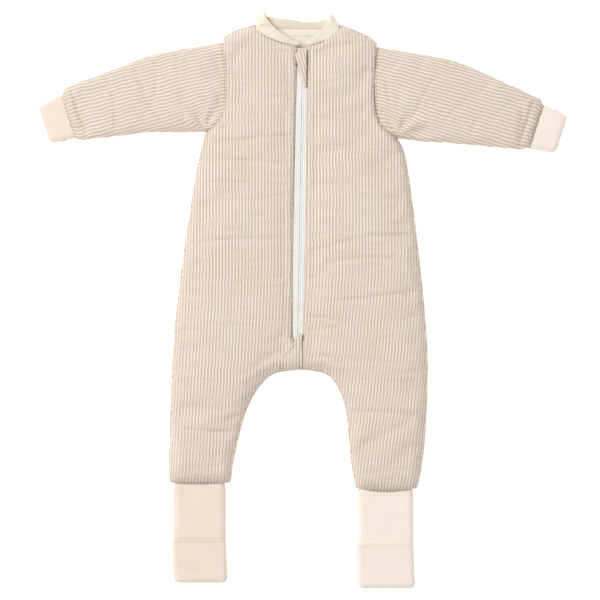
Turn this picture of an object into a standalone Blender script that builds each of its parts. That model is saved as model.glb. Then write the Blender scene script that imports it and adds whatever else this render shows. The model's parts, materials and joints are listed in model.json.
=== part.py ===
"""A footed baby sleeping bag: a quilted muslin overall with sleeves and fold-over feet.

The garment lies on its back, front up and zip closed. +X is the wearer's left, +Y runs from
the feet to the head and +Z is up. Lengths are in metres. Every piece is drawn in the garment's
own frame, whose origin is the level of the neck points on the floor, and one parent empty
then moves the whole so that the middle of its box is the world's origin.
"""
import math

import bmesh
import bpy
from mathutils import Matrix, Vector

OBJECT_NAME = "baby_sleeping_bag"

# ---------------------------------------------------------------- cloth and clearances
TOUCH = 0.0003            # gap between two pieces that touch
SHELL_CLOTH = 0.0010      # woven muslin
WADDING = 0.0045          # polyester wadding between shell and lining
LINING_CLOTH = 0.0010     # jersey lining
LAYER_GAP = 0.0005        # wadding to lining, measured square to the flat parts
RIB_CLOTH = 0.0016        # rib knit, folded double
ARMHOLE_GAP = 0.0010      # armhole edge to sleeve
BUTT_GAP = 0.0005         # sleeve to cuff, hem to foot cuff, neckline to collar

# ---------------------------------------------------------------- heights of the laid pieces
BODY_HALF = 0.0170        # half the thickness of the padded body
SLEEVE_HALF = 0.0130
WRIST_HALF = 0.0075
FOOT_HALF = 0.0080
EDGE_STRAIGHT = 0.0025    # upright part of the rounded edge, each side of the seam
BODY_ROUND = 0.0140       # how far in the rounded edge reaches
SLEEVE_ROUND = 0.0115
WRIST_ROUND = 0.0055
FOOT_ROUND = 0.0060

# ---------------------------------------------------------------- body levels below the neck
CHEST_LEVEL = 0.2050
WAIST_LEVEL = 0.3580
HIP_LEVEL = 0.4890
CROTCH_LEVEL = 0.5076
CROTCH_X = -0.0037
FRONT_NECK_DROP = 0.0326
BACK_NECK_DROP = 0.0062
SHOULDER_CROWN = 0.0035   # how far the shoulder seam rises above a straight line

# The garment doesn't lie evenly, so each side has its own widths from the centre line.
# Wearer's right (-X)
RIGHT = {
    "sign": -1,
    "neck": 0.0698,
    "shoulder": 0.1172, "shoulder_drop": 0.0203,
    "armhole": 0.1112, "armhole_turn": 0.1185,
    "underarm": 0.1424, "underarm_level": 0.1595,
    "chest": 0.1540, "waist": 0.1780, "hip": 0.1917, "knee": 0.1954, "knee_rise": 0.0615,
    "hem_outer": 0.1915, "hem_inner": 0.1058, "hem_level": 0.6735, "hem_bow": 0.0015,
    "shin_inner": 0.0985, "thigh_inner": 0.0795, "crotch_turn": 0.0480,
    "sleeve_length": 0.2380, "sleeve_drop": 11.1, "sleeve_middle": 0.1110,
    "wrist_turn": 18.0, "cuff_length": 0.0345, "cuff_end": 0.0560,
    "foot_inner": 0.1125, "foot_outer": 0.1904, "foot_length": 0.1475,
}
# Wearer's left (+X)
LEFT = {
    "sign": 1,
    "neck": 0.0540,
    "shoulder": 0.1094, "shoulder_drop": 0.0272,
    "armhole": 0.1050, "armhole_turn": 0.1120,
    "underarm": 0.1397, "underarm_level": 0.1689,
    "chest": 0.1530, "waist": 0.1730, "hip": 0.1835, "knee": 0.1795, "knee_rise": 0.0700,
    "hem_outer": 0.1690, "hem_inner": 0.0775, "hem_level": 0.6820, "hem_bow": 0.0045,
    "shin_inner": 0.0695, "thigh_inner": 0.0623, "crotch_turn": 0.0395,
    "sleeve_length": 0.2440, "sleeve_drop": 12.2, "sleeve_middle": 0.1195,
    "wrist_turn": 18.0, "cuff_length": 0.0390, "cuff_end": 0.0580,
    "foot_inner": 0.0801, "foot_outer": 0.1636, "foot_length": 0.1475,
}

# ---------------------------------------------------------------- sleeves and cuffs
SLEEVE_RISE = 0.0085      # of its middle above the straight line from armhole to wrist
SLEEVE_TOP_STEP = 0.0060  # how far the sleeve's top lies below the shoulder tip
WRIST_WIDTH = 0.0690      # of the sleeve where it is gathered into the cuff
CUFF_START = 0.0660       # width of the wrist cuff at its seam
GATHER_LENGTH = 0.0200    # of the sleeve's end that is gathered into the cuff
GATHER_PUFF = 0.0060      # how far the gathered cloth puffs out each side

# ---------------------------------------------------------------- foot flaps
FLAP_LENGTH = 0.0650
FLAP_CLOTH = 0.0014
FLAP_SIDE_GAP = 0.0004
FLAP_AXIS_HEIGHT = 0.0092

# ---------------------------------------------------------------- collar
COLLAR_CLOTH = 0.0022
COLLAR_HEIGHT = 0.0185
COLLAR_ZIP_HEIGHT = 0.0035    # what is left of it where it runs out at the zip
COLLAR_FRONT_Z = 0.0300
COLLAR_BACK_Z = 0.0045
COLLAR_TILT = 0.0015      # how much higher its free edge is than its seam in front
COLLAR_LEAN_ZIP = 35.0    # degrees its front leans inwards at the zip, and how much more
COLLAR_LEAN_MORE = 30.0   # at the shoulder
COLLAR_FOLD_IN = 0.0115   # how far the folded shoulder point leans inwards
COLLAR_FOLD_SHARE = 0.92  # height of the folded point, as a share of the band's height
COLLAR_BACK = [(0.80, 0.86), (0.45, 0.75), (0.12, 0.60)]   # (share of the neck, of the height)
NECK_TAPE_WIDTH = 0.0100
NECK_TAPE_CLOTH = 0.0008
NECK_TAPE_SHARE = 0.70    # of the neck's width, each side

# ---------------------------------------------------------------- zip
ZIP_TOP_X = 0.0006
ZIP_LEAN = 0.0172         # sideways run of the zip for each metre down
ZIP_TOP = 0.0360          # level of the tapes' upper ends
ZIP_LENGTH = 0.4240       # chain, from top stops to bottom stop
ZIP_OPEN_WIDTH = 0.0147   # strip of zip seen between the two fronts
TAPE_UNDER = 0.0050       # tape hidden under each front
TAPE_TAIL = 0.0060        # tape below the bottom stop
CLOSE_LENGTH = 0.0150     # over which the fronts close up below the zip
TAPE_CLOTH = 0.0008
TAPE_Z = 0.0276
CHAIN_CHANNEL = 0.0008    # half the channel that the slider's post runs in
COIL_WIDTH = 0.0024
COIL_HEIGHT = 0.0016
STOP_LENGTH = 0.0030
SLIDER_WIDTH = 0.0090
SLIDER_LENGTH = 0.0140
SLIDER_TOP_PLATE = 0.0014
SLIDER_LOW_PLATE = 0.0012
SLIDER_POST = 0.0010
BRIDGE_SPAN = 0.0066
BRIDGE_RISE = 0.0023
BRIDGE_BAR = 0.0008
BRIDGE_WIDTH = 0.0024
PULL_LENGTH = 0.0150
PULL_WIDTH = 0.0052
PULL_THICK = 0.0010
PULL_BAR = 0.0005         # half the bar that turns in the bridge
PULL_EYE = 0.0050
SLIDER_CLEAR = 0.0004
GARAGE_CLOTH = 0.0016     # two layers of muslin
GARAGE_REACH = 0.0185
GARAGE_LENGTH = 0.0560
GARAGE_DROP = 0.0020      # its upper edge below the tapes' ends
GARAGE_TOP_SHARE = 0.65   # of its reach, along the upper edge
GARAGE_SLOPE = 0.0090     # how far down the corner of its free edge lies
GARAGE_TIP = 0.0030       # width of its lower end
GUARD_LENGTH = 0.0420
GUARD_REACH = 0.0350
GUARD_RISE = 0.0050       # its upper edge above the end of the chain
GUARD_TOP = 0.0040        # length of its upper edge
GUARD_CORNER = (0.0150, 0.0130)   # its slanted edge's bend: to the side, and down
UNDERLAP_WIDTH = 0.0300
UNDERLAP_CLOTH = 0.0016

# ---------------------------------------------------------------- derived levels
SHELL_DEPTH = 0.0
WADDING_DEPTH = SHELL_CLOTH + TOUCH
LINING_DEPTH = WADDING_DEPTH + WADDING + LAYER_GAP
BODY_TOP = 2 * BODY_HALF
CENTRE_SETBACK = TAPE_UNDER + SHELL_CLOTH + 2 * BUTT_GAP
COIL_Z = TAPE_Z - TOUCH - COIL_HEIGHT
CHAIN_END = ZIP_TOP + ZIP_LENGTH
TOP_PLATE_Z = TAPE_Z + TAPE_CLOTH + TOUCH
LOW_PLATE_Z = COIL_Z - TOUCH - SLIDER_LOW_PLATE
UNDERLAP_Z = LOW_PLATE_Z - SLIDER_CLEAR - UNDERLAP_CLOTH
BRIDGE_Z = TOP_PLATE_Z + SLIDER_TOP_PLATE
PULL_AXIS_Z = BRIDGE_Z + (BRIDGE_RISE - BRIDGE_BAR) / 2
SLIDER_REST = ZIP_TOP + STOP_LENGTH + SLIDER_LENGTH / 2 + BUTT_GAP
GARAGE_Z = BODY_TOP + TOUCH


# ---------------------------------------------------------------- scene and materials
def clear_scene():
    """Remove whatever the scene holds."""
    for thing in list(bpy.data.objects):
        bpy.data.objects.remove(thing, do_unlink=True)


def make_collection(name):
    """A collection linked to the scene."""
    group = bpy.data.collections.new(name)
    bpy.context.scene.collection.children.link(group)
    return group


def make_material(name, colour, roughness, metallic=0.0):
    """A plain Principled material."""
    material = bpy.data.materials.new(name)
    material.use_nodes = True
    shader = material.node_tree.nodes["Principled BSDF"]
    shader.inputs["Base Color"].default_value = (*colour, 1.0)
    shader.inputs["Roughness"].default_value = roughness
    shader.inputs["Metallic"].default_value = metallic
    material.diffuse_color = (*colour, 1.0)
    return material


# ---------------------------------------------------------------- outlines
CLOSEST_POINTS = 0.0005   # between two points that have slid along an opening's edge


def curve_through(points, steps):
    """Points on a smooth curve through the given points, ends included."""
    first = [2 * a - b for a, b in zip(points[0], points[1])]
    last = [2 * a - b for a, b in zip(points[-1], points[-2])]
    ring = [first, *points, last]
    run = []
    for i in range(1, len(ring) - 2):
        for step in range(steps):
            t = step / steps
            run.append(tuple(
                0.5 * (2 * b + (c - a) * t + (2 * a - 5 * b + 4 * c - d) * t ** 2
                       + (3 * b - a - 3 * c + d) * t ** 3)
                for a, b, c, d in zip(ring[i - 1], ring[i], ring[i + 1], ring[i + 2])))
    run.append(tuple(points[-1]))
    return run


class Outline:
    """A closed outline, counter-clockwise from above, whose edges have kinds.

    seam:   the piece curves down there to meet its other half
    open:   the piece ends in an opening, such as the neck or an armhole
    turned: the cloth is turned down along the zip
    """

    def __init__(self):
        self.points = []
        self.kinds = []

    def add(self, run, kind):
        """Add a run of points; the last point belongs to the next run."""
        for point in run[:-1]:
            self.points.append(Vector(point))
            self.kinds.append(kind)

    def runs(self):
        """The runs of edges of one kind: the kind, the first point and the number of edges."""
        count = len(self.kinds)
        starts = [i for i in range(count) if self.kinds[i] != self.kinds[i - 1]]
        ends = starts[1:] + starts[:1]
        return [(self.kinds[a], a, (b - a) % count or count) for a, b in zip(starts, ends)]

    def mitred(self, distances):
        """Each point moved to where its two edges' shifted lines cross."""
        count = len(self.points)
        moved = []
        for i in range(count):
            n1 = left_normal(self.points[i - 1], self.points[i])
            n2 = left_normal(self.points[i], self.points[(i + 1) % count])
            d1 = distances[self.kinds[i - 1]]
            d2 = distances[self.kinds[i]]
            cross = n1.x * n2.y - n1.y * n2.x
            if abs(cross) < 0.05:
                shift = (n1 * d1 + n2 * d2) / 2
            else:
                shift = Vector((d1 * n2.y - d2 * n1.y, d2 * n1.x - d1 * n2.x)) / cross
            moved.append(self.points[i] + shift)
        return moved

    def inset(self, distances):
        """The outline moved inwards by a distance for each kind of edge.

        The ends of an open run slide along it, so that every layer ends on the same edge.
        """
        count = len(self.points)
        moved = self.mitred(distances)
        for kind, start, length in self.runs():
            if kind != "open":
                continue
            stop = start + length
            line = [self.points[k % count] for k in range(start, stop + 1)]
            cut_start = distances[self.kinds[start - 1]]
            cut_stop = distances[self.kinds[stop % count]]
            lengths = running_lengths(line)
            for k, reached in enumerate(lengths):
                first = cut_start + k * CLOSEST_POINTS
                last = lengths[-1] - cut_stop - (length - k) * CLOSEST_POINTS
                place = min(max(reached, first), last)
                moved[(start + k) % count] = point_along(line, lengths, place)
        return moved


def left_normal(start, end):
    """The unit vector to the left of the way from one point to another."""
    step = end - start
    return Vector((-step.y, step.x)).normalized()


def running_lengths(line):
    """The length reached at each point of a line."""
    lengths = [0.0]
    for a, b in zip(line, line[1:]):
        lengths.append(lengths[-1] + (b - a).length)
    return lengths


def point_along(line, lengths, place):
    """The point at a length along a line."""
    for i in range(1, len(line)):
        if place <= lengths[i] or i == len(line) - 1:
            share = (place - lengths[i - 1]) / (lengths[i] - lengths[i - 1])
            return line[i - 1].lerp(line[i], share)


def zip_x(level):
    """Where the zip's centre line is at a level below the neck."""
    return ZIP_TOP_X - ZIP_LEAN * level


def armhole(side):
    """The armhole edge from the shoulder tip to the underarm."""
    s = side["sign"]
    middle = (side["shoulder_drop"] + side["underarm_level"]) / 2
    return curve_through([
        (s * side["shoulder"], -side["shoulder_drop"]),
        (s * side["armhole"], -middle),
        (s * side["armhole_turn"], -0.33 * middle - 0.67 * side["underarm_level"]),
        (s * side["underarm"], -side["underarm_level"]),
    ], 3)


def sleeve_edge(side):
    """The sleeve's armhole edge, beside the body's at a constant distance."""
    s = side["sign"]
    line = [Vector(point) for point in armhole(side)]
    edge = []
    for i, point in enumerate(line):
        before = left_normal(line[max(i - 1, 0)], line[max(i, 1)])
        after = left_normal(line[min(i, len(line) - 2)], line[min(i + 1, len(line) - 1)])
        both = (before + after).normalized()
        edge.append(point + s * both * ARMHOLE_GAP / both.dot(after))
    edge[0] = edge[0].lerp(edge[1], SLEEVE_TOP_STEP / (edge[1] - edge[0]).length)
    return [tuple(point) for point in edge]


def side_seam(side):
    """The side seam from the underarm to the hem."""
    s = side["sign"]
    return curve_through([
        (s * side["underarm"], -side["underarm_level"]),
        (s * side["chest"], -CHEST_LEVEL),
        (s * side["waist"], -WAIST_LEVEL),
        (s * side["hip"], -HIP_LEVEL),
        (s * side["knee"], -side["hem_level"] + side["knee_rise"]),
        (s * side["hem_outer"], -side["hem_level"]),
    ], 2)


def hem(side):
    """The leg's hem from the outer to the inner corner."""
    s = side["sign"]
    middle = (side["hem_outer"] + side["hem_inner"]) / 2
    return curve_through([
        (s * side["hem_outer"], -side["hem_level"]),
        (s * middle, -side["hem_level"] - side["hem_bow"]),
        (s * side["hem_inner"], -side["hem_level"]),
    ], 2)


def inner_leg(side, crotch_x):
    """The inner leg seam from the hem up to the crotch."""
    s = side["sign"]
    rise = side["hem_level"] - CROTCH_LEVEL
    return curve_through([
        (s * side["hem_inner"], -side["hem_level"]),
        (s * side["shin_inner"], -side["hem_level"] + 0.28 * rise),
        (s * side["thigh_inner"], -side["hem_level"] + 0.68 * rise),
        (s * side["crotch_turn"], -CROTCH_LEVEL - 0.055 * rise),
        (crotch_x, -CROTCH_LEVEL),
    ], 3)


def front_neckline(side):
    """The front neckline from the neck point down to the zip."""
    s = side["sign"]
    zip_edge = abs(zip_x(FRONT_NECK_DROP) + s * ZIP_OPEN_WIDTH / 2)
    width = side["neck"] - zip_edge
    return curve_through([
        (s * side["neck"], 0.0),
        (s * (zip_edge + 0.82 * width), -0.46 * FRONT_NECK_DROP),
        (s * (zip_edge + 0.45 * width), -0.83 * FRONT_NECK_DROP),
        (s * zip_edge, -FRONT_NECK_DROP),
    ], 2)


def back_neckline():
    """The back neckline from the wearer's left neck point to the right one."""
    return curve_through([
        (LEFT["neck"], 0.0),
        (0.72 * LEFT["neck"], -BACK_NECK_DROP),
        (-0.72 * RIGHT["neck"], -BACK_NECK_DROP),
        (-RIGHT["neck"], 0.0),
    ], 2)


def shoulder(side):
    """The shoulder seam from the neck point to the shoulder tip."""
    s = side["sign"]
    return curve_through([
        (s * side["neck"], 0.0),
        (s * (0.35 * side["neck"] + 0.65 * side["shoulder"]),
         -0.65 * side["shoulder_drop"] + SHOULDER_CROWN),
        (s * side["shoulder"], -side["shoulder_drop"]),
    ], 2)


def back_outline():
    """The whole back, counter-clockwise from the wearer's right neck point."""
    outline = Outline()
    outline.add(shoulder(RIGHT), "seam")
    outline.add(armhole(RIGHT), "open")
    outline.add(side_seam(RIGHT), "seam")
    outline.add(hem(RIGHT), "open")
    outline.add(inner_leg(RIGHT, CROTCH_X), "seam")
    outline.add(inner_leg(LEFT, CROTCH_X)[::-1], "seam")
    outline.add(hem(LEFT)[::-1], "open")
    outline.add(side_seam(LEFT)[::-1], "seam")
    outline.add(armhole(LEFT)[::-1], "open")
    outline.add(shoulder(LEFT)[::-1], "seam")
    outline.add(back_neckline(), "open")
    return outline


def front_outline(side):
    """One front, from the neck point round to the zip and the crotch."""
    s = side["sign"]
    crotch_x = CROTCH_X + s * TOUCH
    zip_end = CHAIN_END + STOP_LENGTH
    runs = [
        (shoulder(side), "seam"),
        (armhole(side), "open"),
        (side_seam(side), "seam"),
        (hem(side), "open"),
        (inner_leg(side, crotch_x), "seam"),
        ([(crotch_x, -CROTCH_LEVEL), (crotch_x, -zip_end - CLOSE_LENGTH)], "open"),
        ([(crotch_x, -zip_end - CLOSE_LENGTH),
          (zip_x(zip_end) + s * ZIP_OPEN_WIDTH / 2, -zip_end),
          (zip_x(FRONT_NECK_DROP) + s * ZIP_OPEN_WIDTH / 2, -FRONT_NECK_DROP)], "turned"),
        (front_neckline(side)[::-1], "open"),
    ]
    outline = Outline()
    if s > 0:
        runs = [(run[::-1], kind) for run, kind in reversed(runs)]
    for run, kind in runs:
        outline.add(run, kind)
    return outline


def sleeve_frame(side):
    """The wrist's middle, the way the sleeve points there, and across it towards the head."""
    s = side["sign"]
    root = Vector((s * side["armhole"], -(side["shoulder_drop"] + side["underarm_level"]) / 2))
    drop = math.radians(side["sleeve_drop"])
    turn = math.radians(side["wrist_turn"])
    wrist = root + side["sleeve_length"] * Vector((s * math.cos(drop), -math.sin(drop)))
    along = Vector((s * math.cos(turn), -math.sin(turn)))
    across = Vector((s * math.sin(turn), math.cos(turn)))
    return root, wrist, along, across


def sleeve_outline(side):
    """The sleeve, from the armhole's lower end round by the wrist."""
    s = side["sign"]
    root, wrist, along, across = sleeve_frame(side)
    middle = (root + wrist) / 2 + Vector((0.0, SLEEVE_RISE))
    half_middle = Vector((0.0, side["sleeve_middle"] / 2))
    edge = sleeve_edge(side)
    top_wrist = wrist + across * WRIST_WIDTH / 2
    low_wrist = wrist - across * WRIST_WIDTH / 2
    top = curve_through([
        edge[0],
        tuple(middle + half_middle),
        tuple(top_wrist - along * GATHER_LENGTH + across * GATHER_PUFF),
        tuple(top_wrist),
    ], 3)
    low = curve_through([
        edge[-1],
        tuple(middle - half_middle),
        tuple(low_wrist - along * GATHER_LENGTH - across * GATHER_PUFF),
        tuple(low_wrist),
    ], 3)
    runs = [(edge, "open"), (low, "seam"), ([tuple(low_wrist), tuple(top_wrist)], "open"),
            (top[::-1], "seam")]
    outline = Outline()
    if s < 0:
        runs = [(run[::-1], kind) for run, kind in reversed(runs)]
    for run, kind in runs:
        outline.add(run, kind)
    return outline


def cuff_outline(side):
    """The wrist cuff, from its seam to its slightly narrower end."""
    root, wrist, along, across = sleeve_frame(side)
    start = wrist + along * BUTT_GAP
    end = start + along * side["cuff_length"]
    corners = [start + across * CUFF_START / 2, start - across * CUFF_START / 2,
               end - across * side["cuff_end"] / 2, end + across * side["cuff_end"] / 2]
    kinds = ["open", "seam", "open", "seam"]
    outline = Outline()
    if side["sign"] < 0:
        corners = [corners[0], corners[3], corners[2], corners[1]]
        kinds = kinds[::-1]
    for i in range(4):
        outline.add([tuple(corners[i]), tuple(corners[(i + 1) % 4])], kinds[i])
    return outline


def foot_outline(side, wider, top):
    """The foot cuff or its flap: this much wider than the cuff, up to the top's points."""
    s = side["sign"]
    toe = foot_toe(side)
    low_x, high_x = sorted((s * side["foot_inner"], s * side["foot_outer"]))
    outline = Outline()
    outline.add([(low_x - wider, top[0][1]), (low_x - wider, toe)], "seam")
    outline.add([(low_x - wider, toe), (high_x + wider, toe)], "open")
    outline.add([(high_x + wider, toe), (high_x + wider, top[-1][1])], "seam")
    outline.add(top[::-1], "open")
    return outline


def foot_top(side):
    """The foot cuff's upper edge, from low x to high x, just below the hem's curve."""
    s = side["sign"]
    hem_points = [Vector(point) for point in sorted(hem(side))]
    low_x, high_x = sorted((s * side["foot_inner"], s * side["foot_outer"]))
    top = []
    for x in (low_x, *[point.x for point in hem_points[1:-1]], high_x):
        for a, b in zip(hem_points, hem_points[1:]):
            if a.x <= x <= b.x:
                level = a.lerp(b, (x - a.x) / (b.x - a.x)).y
        top.append((x, level - BUTT_GAP))
    return top


def flap_top(side, wider):
    """The flap's folded upper edge, from low x to high x."""
    s = side["sign"]
    low_x, high_x = sorted((s * side["foot_inner"], s * side["foot_outer"]))
    level = foot_toe(side) + FLAP_LENGTH
    return [(low_x - wider, level), (high_x + wider, level)]


def foot_toe(side):
    """How far down the foot cuff's open end lies."""
    return -side["hem_level"] - side["foot_length"]


# ---------------------------------------------------------------- solids
def rounded_profile(depth, half, reach, from_z=TOUCH / 2):
    """Inset and height along the rounded edge of a layer that lies this deep."""
    profile = [(depth, from_z), (depth, EDGE_STRAIGHT)]
    for angle in (45, 90):
        turn = math.radians(angle)
        profile.append((reach - (reach - depth) * math.cos(turn),
                        EDGE_STRAIGHT + (half - EDGE_STRAIGHT - depth) * math.sin(turn)))
    return profile


def surface_rings(outline, profile, setback, turn_down):
    """The corners of one face of the cloth: a ring for each step of the profile."""
    rings = []
    for inset, height in profile:
        spots = outline.inset({"seam": inset, "open": 0.0, "turned": setback})
        rings.append([(spot.x, spot.y, height) for spot in spots])
    if turn_down is not None:
        rings.append([(x, y, turn_down) for x, y, height in rings[-1]])
    return rings


def cloth_faces(kinds, steps, fill_low, fill_high, turned):
    """Faces of one side of the cloth, as (ring, point) corners with the normal outwards.

    The rounded edges are triangles, so that nested layers all fold along the same lines.
    """
    count = len(kinds)
    faces = []
    for i, kind in enumerate(kinds):
        j = (i + 1) % count
        if kind == "seam":
            for level in range(steps - 1):
                faces.append([(level, i), (level, j), (level + 1, j)])
                faces.append([(level, i), (level + 1, j), (level + 1, i)])
        if kind == "turned" and turned:
            faces.append([(steps, i), (steps, j), (steps - 1, j), (steps - 1, i)])
    if fill_high:
        faces.append([(steps - 1, i) for i in range(count)])
    if fill_low:
        faces.append([(0, i) for i in reversed(range(count))])
    return faces


def cloth_solid(outline, outer, inner, fill_low, fill_high, setbacks=(0.0, 0.0), turn_down=None):
    """A closed layer of cloth between an outer and an inner profile.

    Both faces run along the seams and end on the outline's openings, so nested layers keep
    their distance everywhere. A rim closes the layer along its free edges.
    """
    faces = cloth_faces(outline.kinds, len(outer), fill_low, fill_high, turn_down is not None)
    bm = bmesh.new()
    sides = []
    for profile, setback in zip((outer, inner), setbacks):
        rings = surface_rings(outline, profile, setback, turn_down)
        used = sorted({corner for face in faces for corner in face})
        sides.append({(level, i): bm.verts.new(rings[level][i]) for level, i in used})
    outside, inside = sides
    edges = {}
    for face in faces:
        bm.faces.new([outside[corner] for corner in face])
        bm.faces.new([inside[corner] for corner in reversed(face)])
        for start, end in zip(face, face[1:] + face[:1]):
            edges[(start, end)] = True
    for start, end in edges:
        if (end, start) not in edges:
            bm.faces.new([outside[end], outside[start], inside[start], inside[end]])
    return bm


def add_object(name, bm, material, height=0.0, thickness=0.0):
    """An object from a bmesh; an open surface gets its cloth's thickness, inwards."""
    mesh = bpy.data.meshes.new(name)
    bm.to_mesh(mesh)
    bm.free()
    mesh.materials.append(material)
    thing = bpy.data.objects.new(name, mesh)
    PARTS.objects.link(thing)
    thing.parent = GARMENT
    thing.location.z = height
    mesh.shade_smooth()
    mesh.set_sharp_from_angle(angle=math.radians(35))
    if thickness:
        cloth = thing.modifiers.new("cloth", "SOLIDIFY")
        cloth.thickness = thickness
        cloth.offset = -1.0
        cloth.use_even_offset = True
        cloth.use_rim = True
    return thing


def move_origin(thing, point):
    """Put the object's origin on its joint's axis and leave its shape in place."""
    point = Vector(point)
    thing.data.transform(Matrix.Translation(-(point - thing.location)))
    thing.location = point


def box_mesh(low, high):
    """A box between two corners."""
    bm = bmesh.new()
    bmesh.ops.create_cube(bm, size=1.0)
    low, high = Vector(low), Vector(high)
    size = high - low
    bmesh.ops.scale(bm, verts=bm.verts, vec=size)
    bmesh.ops.translate(bm, verts=bm.verts, vec=(low + high) / 2)
    return bm


def extruded(points, low_z, high_z):
    """A flat outline given a thickness."""
    bm = bmesh.new()
    face = bm.faces.new([bm.verts.new((x, y, low_z)) for x, y in points])
    result = bmesh.ops.extrude_face_region(bm, geom=[face])["geom"]
    lifted = [part for part in result if isinstance(part, bmesh.types.BMVert)]
    bmesh.ops.translate(bm, verts=lifted, vec=(0.0, 0.0, high_z - low_z))
    bmesh.ops.recalc_face_normals(bm, faces=bm.faces)
    return bm


def upside_down(profile):
    """The same profile below the seam, still from the lowest step to the highest."""
    return [(inset, -height) for inset, height in reversed(profile)]


# ---------------------------------------------------------------- padded body
def back_panels():
    """Shell, wadding and lining of the back, with rounded edges up to the seams."""
    outline = back_outline()
    layers = [("back_shell", MUSLIN, SHELL_DEPTH, SHELL_CLOTH),
              ("back_wadding", FILLING, WADDING_DEPTH, WADDING),
              ("back_lining", JERSEY, LINING_DEPTH, LINING_CLOTH)]
    for name, material, depth, thickness in layers:
        outer = upside_down(rounded_profile(depth, BODY_HALF, BODY_ROUND))
        inner = upside_down(rounded_profile(depth + thickness, BODY_HALF, BODY_ROUND))
        add_object(name, cloth_solid(outline, outer, inner, True, False), material, BODY_HALF)


def front_panels(side, word):
    """Shell, wadding and lining of one front."""
    outline = front_outline(side)
    turn_down = TAPE_Z + TAPE_CLOTH + TOUCH - BODY_HALF
    layers = [(f"front_{word}_shell", MUSLIN, SHELL_DEPTH, SHELL_CLOTH, 0.0, turn_down),
              (f"front_{word}_wadding", FILLING, WADDING_DEPTH, WADDING, CENTRE_SETBACK, None),
              (f"front_{word}_lining", JERSEY, LINING_DEPTH, LINING_CLOTH, CENTRE_SETBACK, None)]
    for name, material, depth, thickness, setback, turned in layers:
        outer = rounded_profile(depth, BODY_HALF, BODY_ROUND)
        inner = rounded_profile(depth + thickness, BODY_HALF, BODY_ROUND)
        inner_setback = setback + thickness if turned is not None else setback
        solid = cloth_solid(outline, outer, inner, False, True, (setback, inner_setback), turned)
        add_object(name, solid, material, BODY_HALF)


# ---------------------------------------------------------------- sleeves and cuffs
def tube(name, outline, material, half, reach, thickness, depth=0.0):
    """A flattened tube that lies on the floor, open at both ends."""
    profiles = []
    for level in (depth, depth + thickness):
        upper = rounded_profile(level, half, reach)[1:]
        profiles.append(upside_down(upper) + upper)
    return add_object(name, cloth_solid(outline, *profiles, True, True), material, half)


def sleeve_axis_point(side):
    """The upper end of the line that the sleeve turns on, at the armhole's shoulder end.

    The line runs from here to the edge's underarm end, along the sleeve's top.
    """
    x, y = sleeve_edge(side)[0]
    return (x, y, 2 * SLEEVE_HALF)


def sleeve(side, word):
    """A padded sleeve with its rib cuff."""
    outline = sleeve_outline(side)
    pivot = sleeve_axis_point(side)
    layers = [("shell", MUSLIN, SHELL_DEPTH, SHELL_CLOTH),
              ("wadding", FILLING, WADDING_DEPTH, WADDING),
              ("lining", JERSEY, LINING_DEPTH, LINING_CLOTH)]
    for layer, material, depth, thickness in layers:
        piece = tube(f"sleeve_{word}_{layer}", outline, material, SLEEVE_HALF, SLEEVE_ROUND,
                     thickness, depth)
        move_origin(piece, pivot)
    cuff = tube(f"wrist_cuff_{word}", cuff_outline(side), RIB, WRIST_HALF, WRIST_ROUND, RIB_CLOTH)
    move_origin(cuff, pivot)


# ---------------------------------------------------------------- feet
def foot(side, word):
    """A foot cuff and the flap that folds over its front."""
    tube(f"foot_cuff_{word}", foot_outline(side, 0.0, foot_top(side)), RIB, FOOT_HALF, FOOT_ROUND,
         RIB_CLOTH)
    wider = FLAP_SIDE_GAP + FLAP_CLOTH
    outline = foot_outline(side, wider, flap_top(side, wider))
    half = FOOT_HALF + TOUCH + FLAP_CLOTH
    outer = rounded_profile(0.0, half, FOOT_ROUND + wider, 0.0)
    inner = rounded_profile(FLAP_CLOTH, half, FOOT_ROUND + wider, 0.0)
    flap = add_object(f"foot_flap_{word}", cloth_solid(outline, outer, inner, False, True), RIB,
                      FOOT_HALF)
    middle = side["sign"] * (side["foot_inner"] + side["foot_outer"]) / 2
    move_origin(flap, (middle, foot_toe(side), FLAP_AXIS_HEIGHT))


# ---------------------------------------------------------------- collar
def collar_stations():
    """Seam point and free-edge point of the collar, from the right zip end to the left."""
    stations = []
    for side in (RIGHT, LEFT):
        s = side["sign"]
        seam = front_neckline(side)[::-1][:-1]
        run = []
        for i, (x, y) in enumerate(seam):
            share = i / len(seam)
            rise = COLLAR_ZIP_HEIGHT + (COLLAR_HEIGHT - COLLAR_ZIP_HEIGHT) * math.sin(
                share * math.pi / 2)
            lean = math.radians(COLLAR_LEAN_ZIP + COLLAR_LEAN_MORE * share)
            low = Vector((x - s * BUTT_GAP / 2, y + BUTT_GAP, COLLAR_FRONT_Z))
            step = Vector((-s * math.cos(lean) * rise, math.sin(lean) * rise, COLLAR_TILT))
            run.append((low, low + step))
        fold_low = Vector((s * (side["neck"] - 2 * BUTT_GAP), 3 * BUTT_GAP,
                           (COLLAR_FRONT_Z + COLLAR_BACK_Z) / 2))
        fold_step = Vector((-s * COLLAR_FOLD_IN, COLLAR_HEIGHT * COLLAR_FOLD_SHARE, 0.0))
        fold = [(fold_low, fold_low + fold_step)]
        back = []
        for share, lift in COLLAR_BACK:
            dip = BACK_NECK_DROP * min(1.0, (1.2 - share) / 0.45)
            low = Vector((s * side["neck"] * share, -dip + 2 * BUTT_GAP, COLLAR_BACK_Z))
            back.append((low, low + Vector((0.0, COLLAR_HEIGHT * lift, 0.0))))
        stations.append(run + fold + back)
    return stations[0] + stations[1][::-1]


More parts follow.
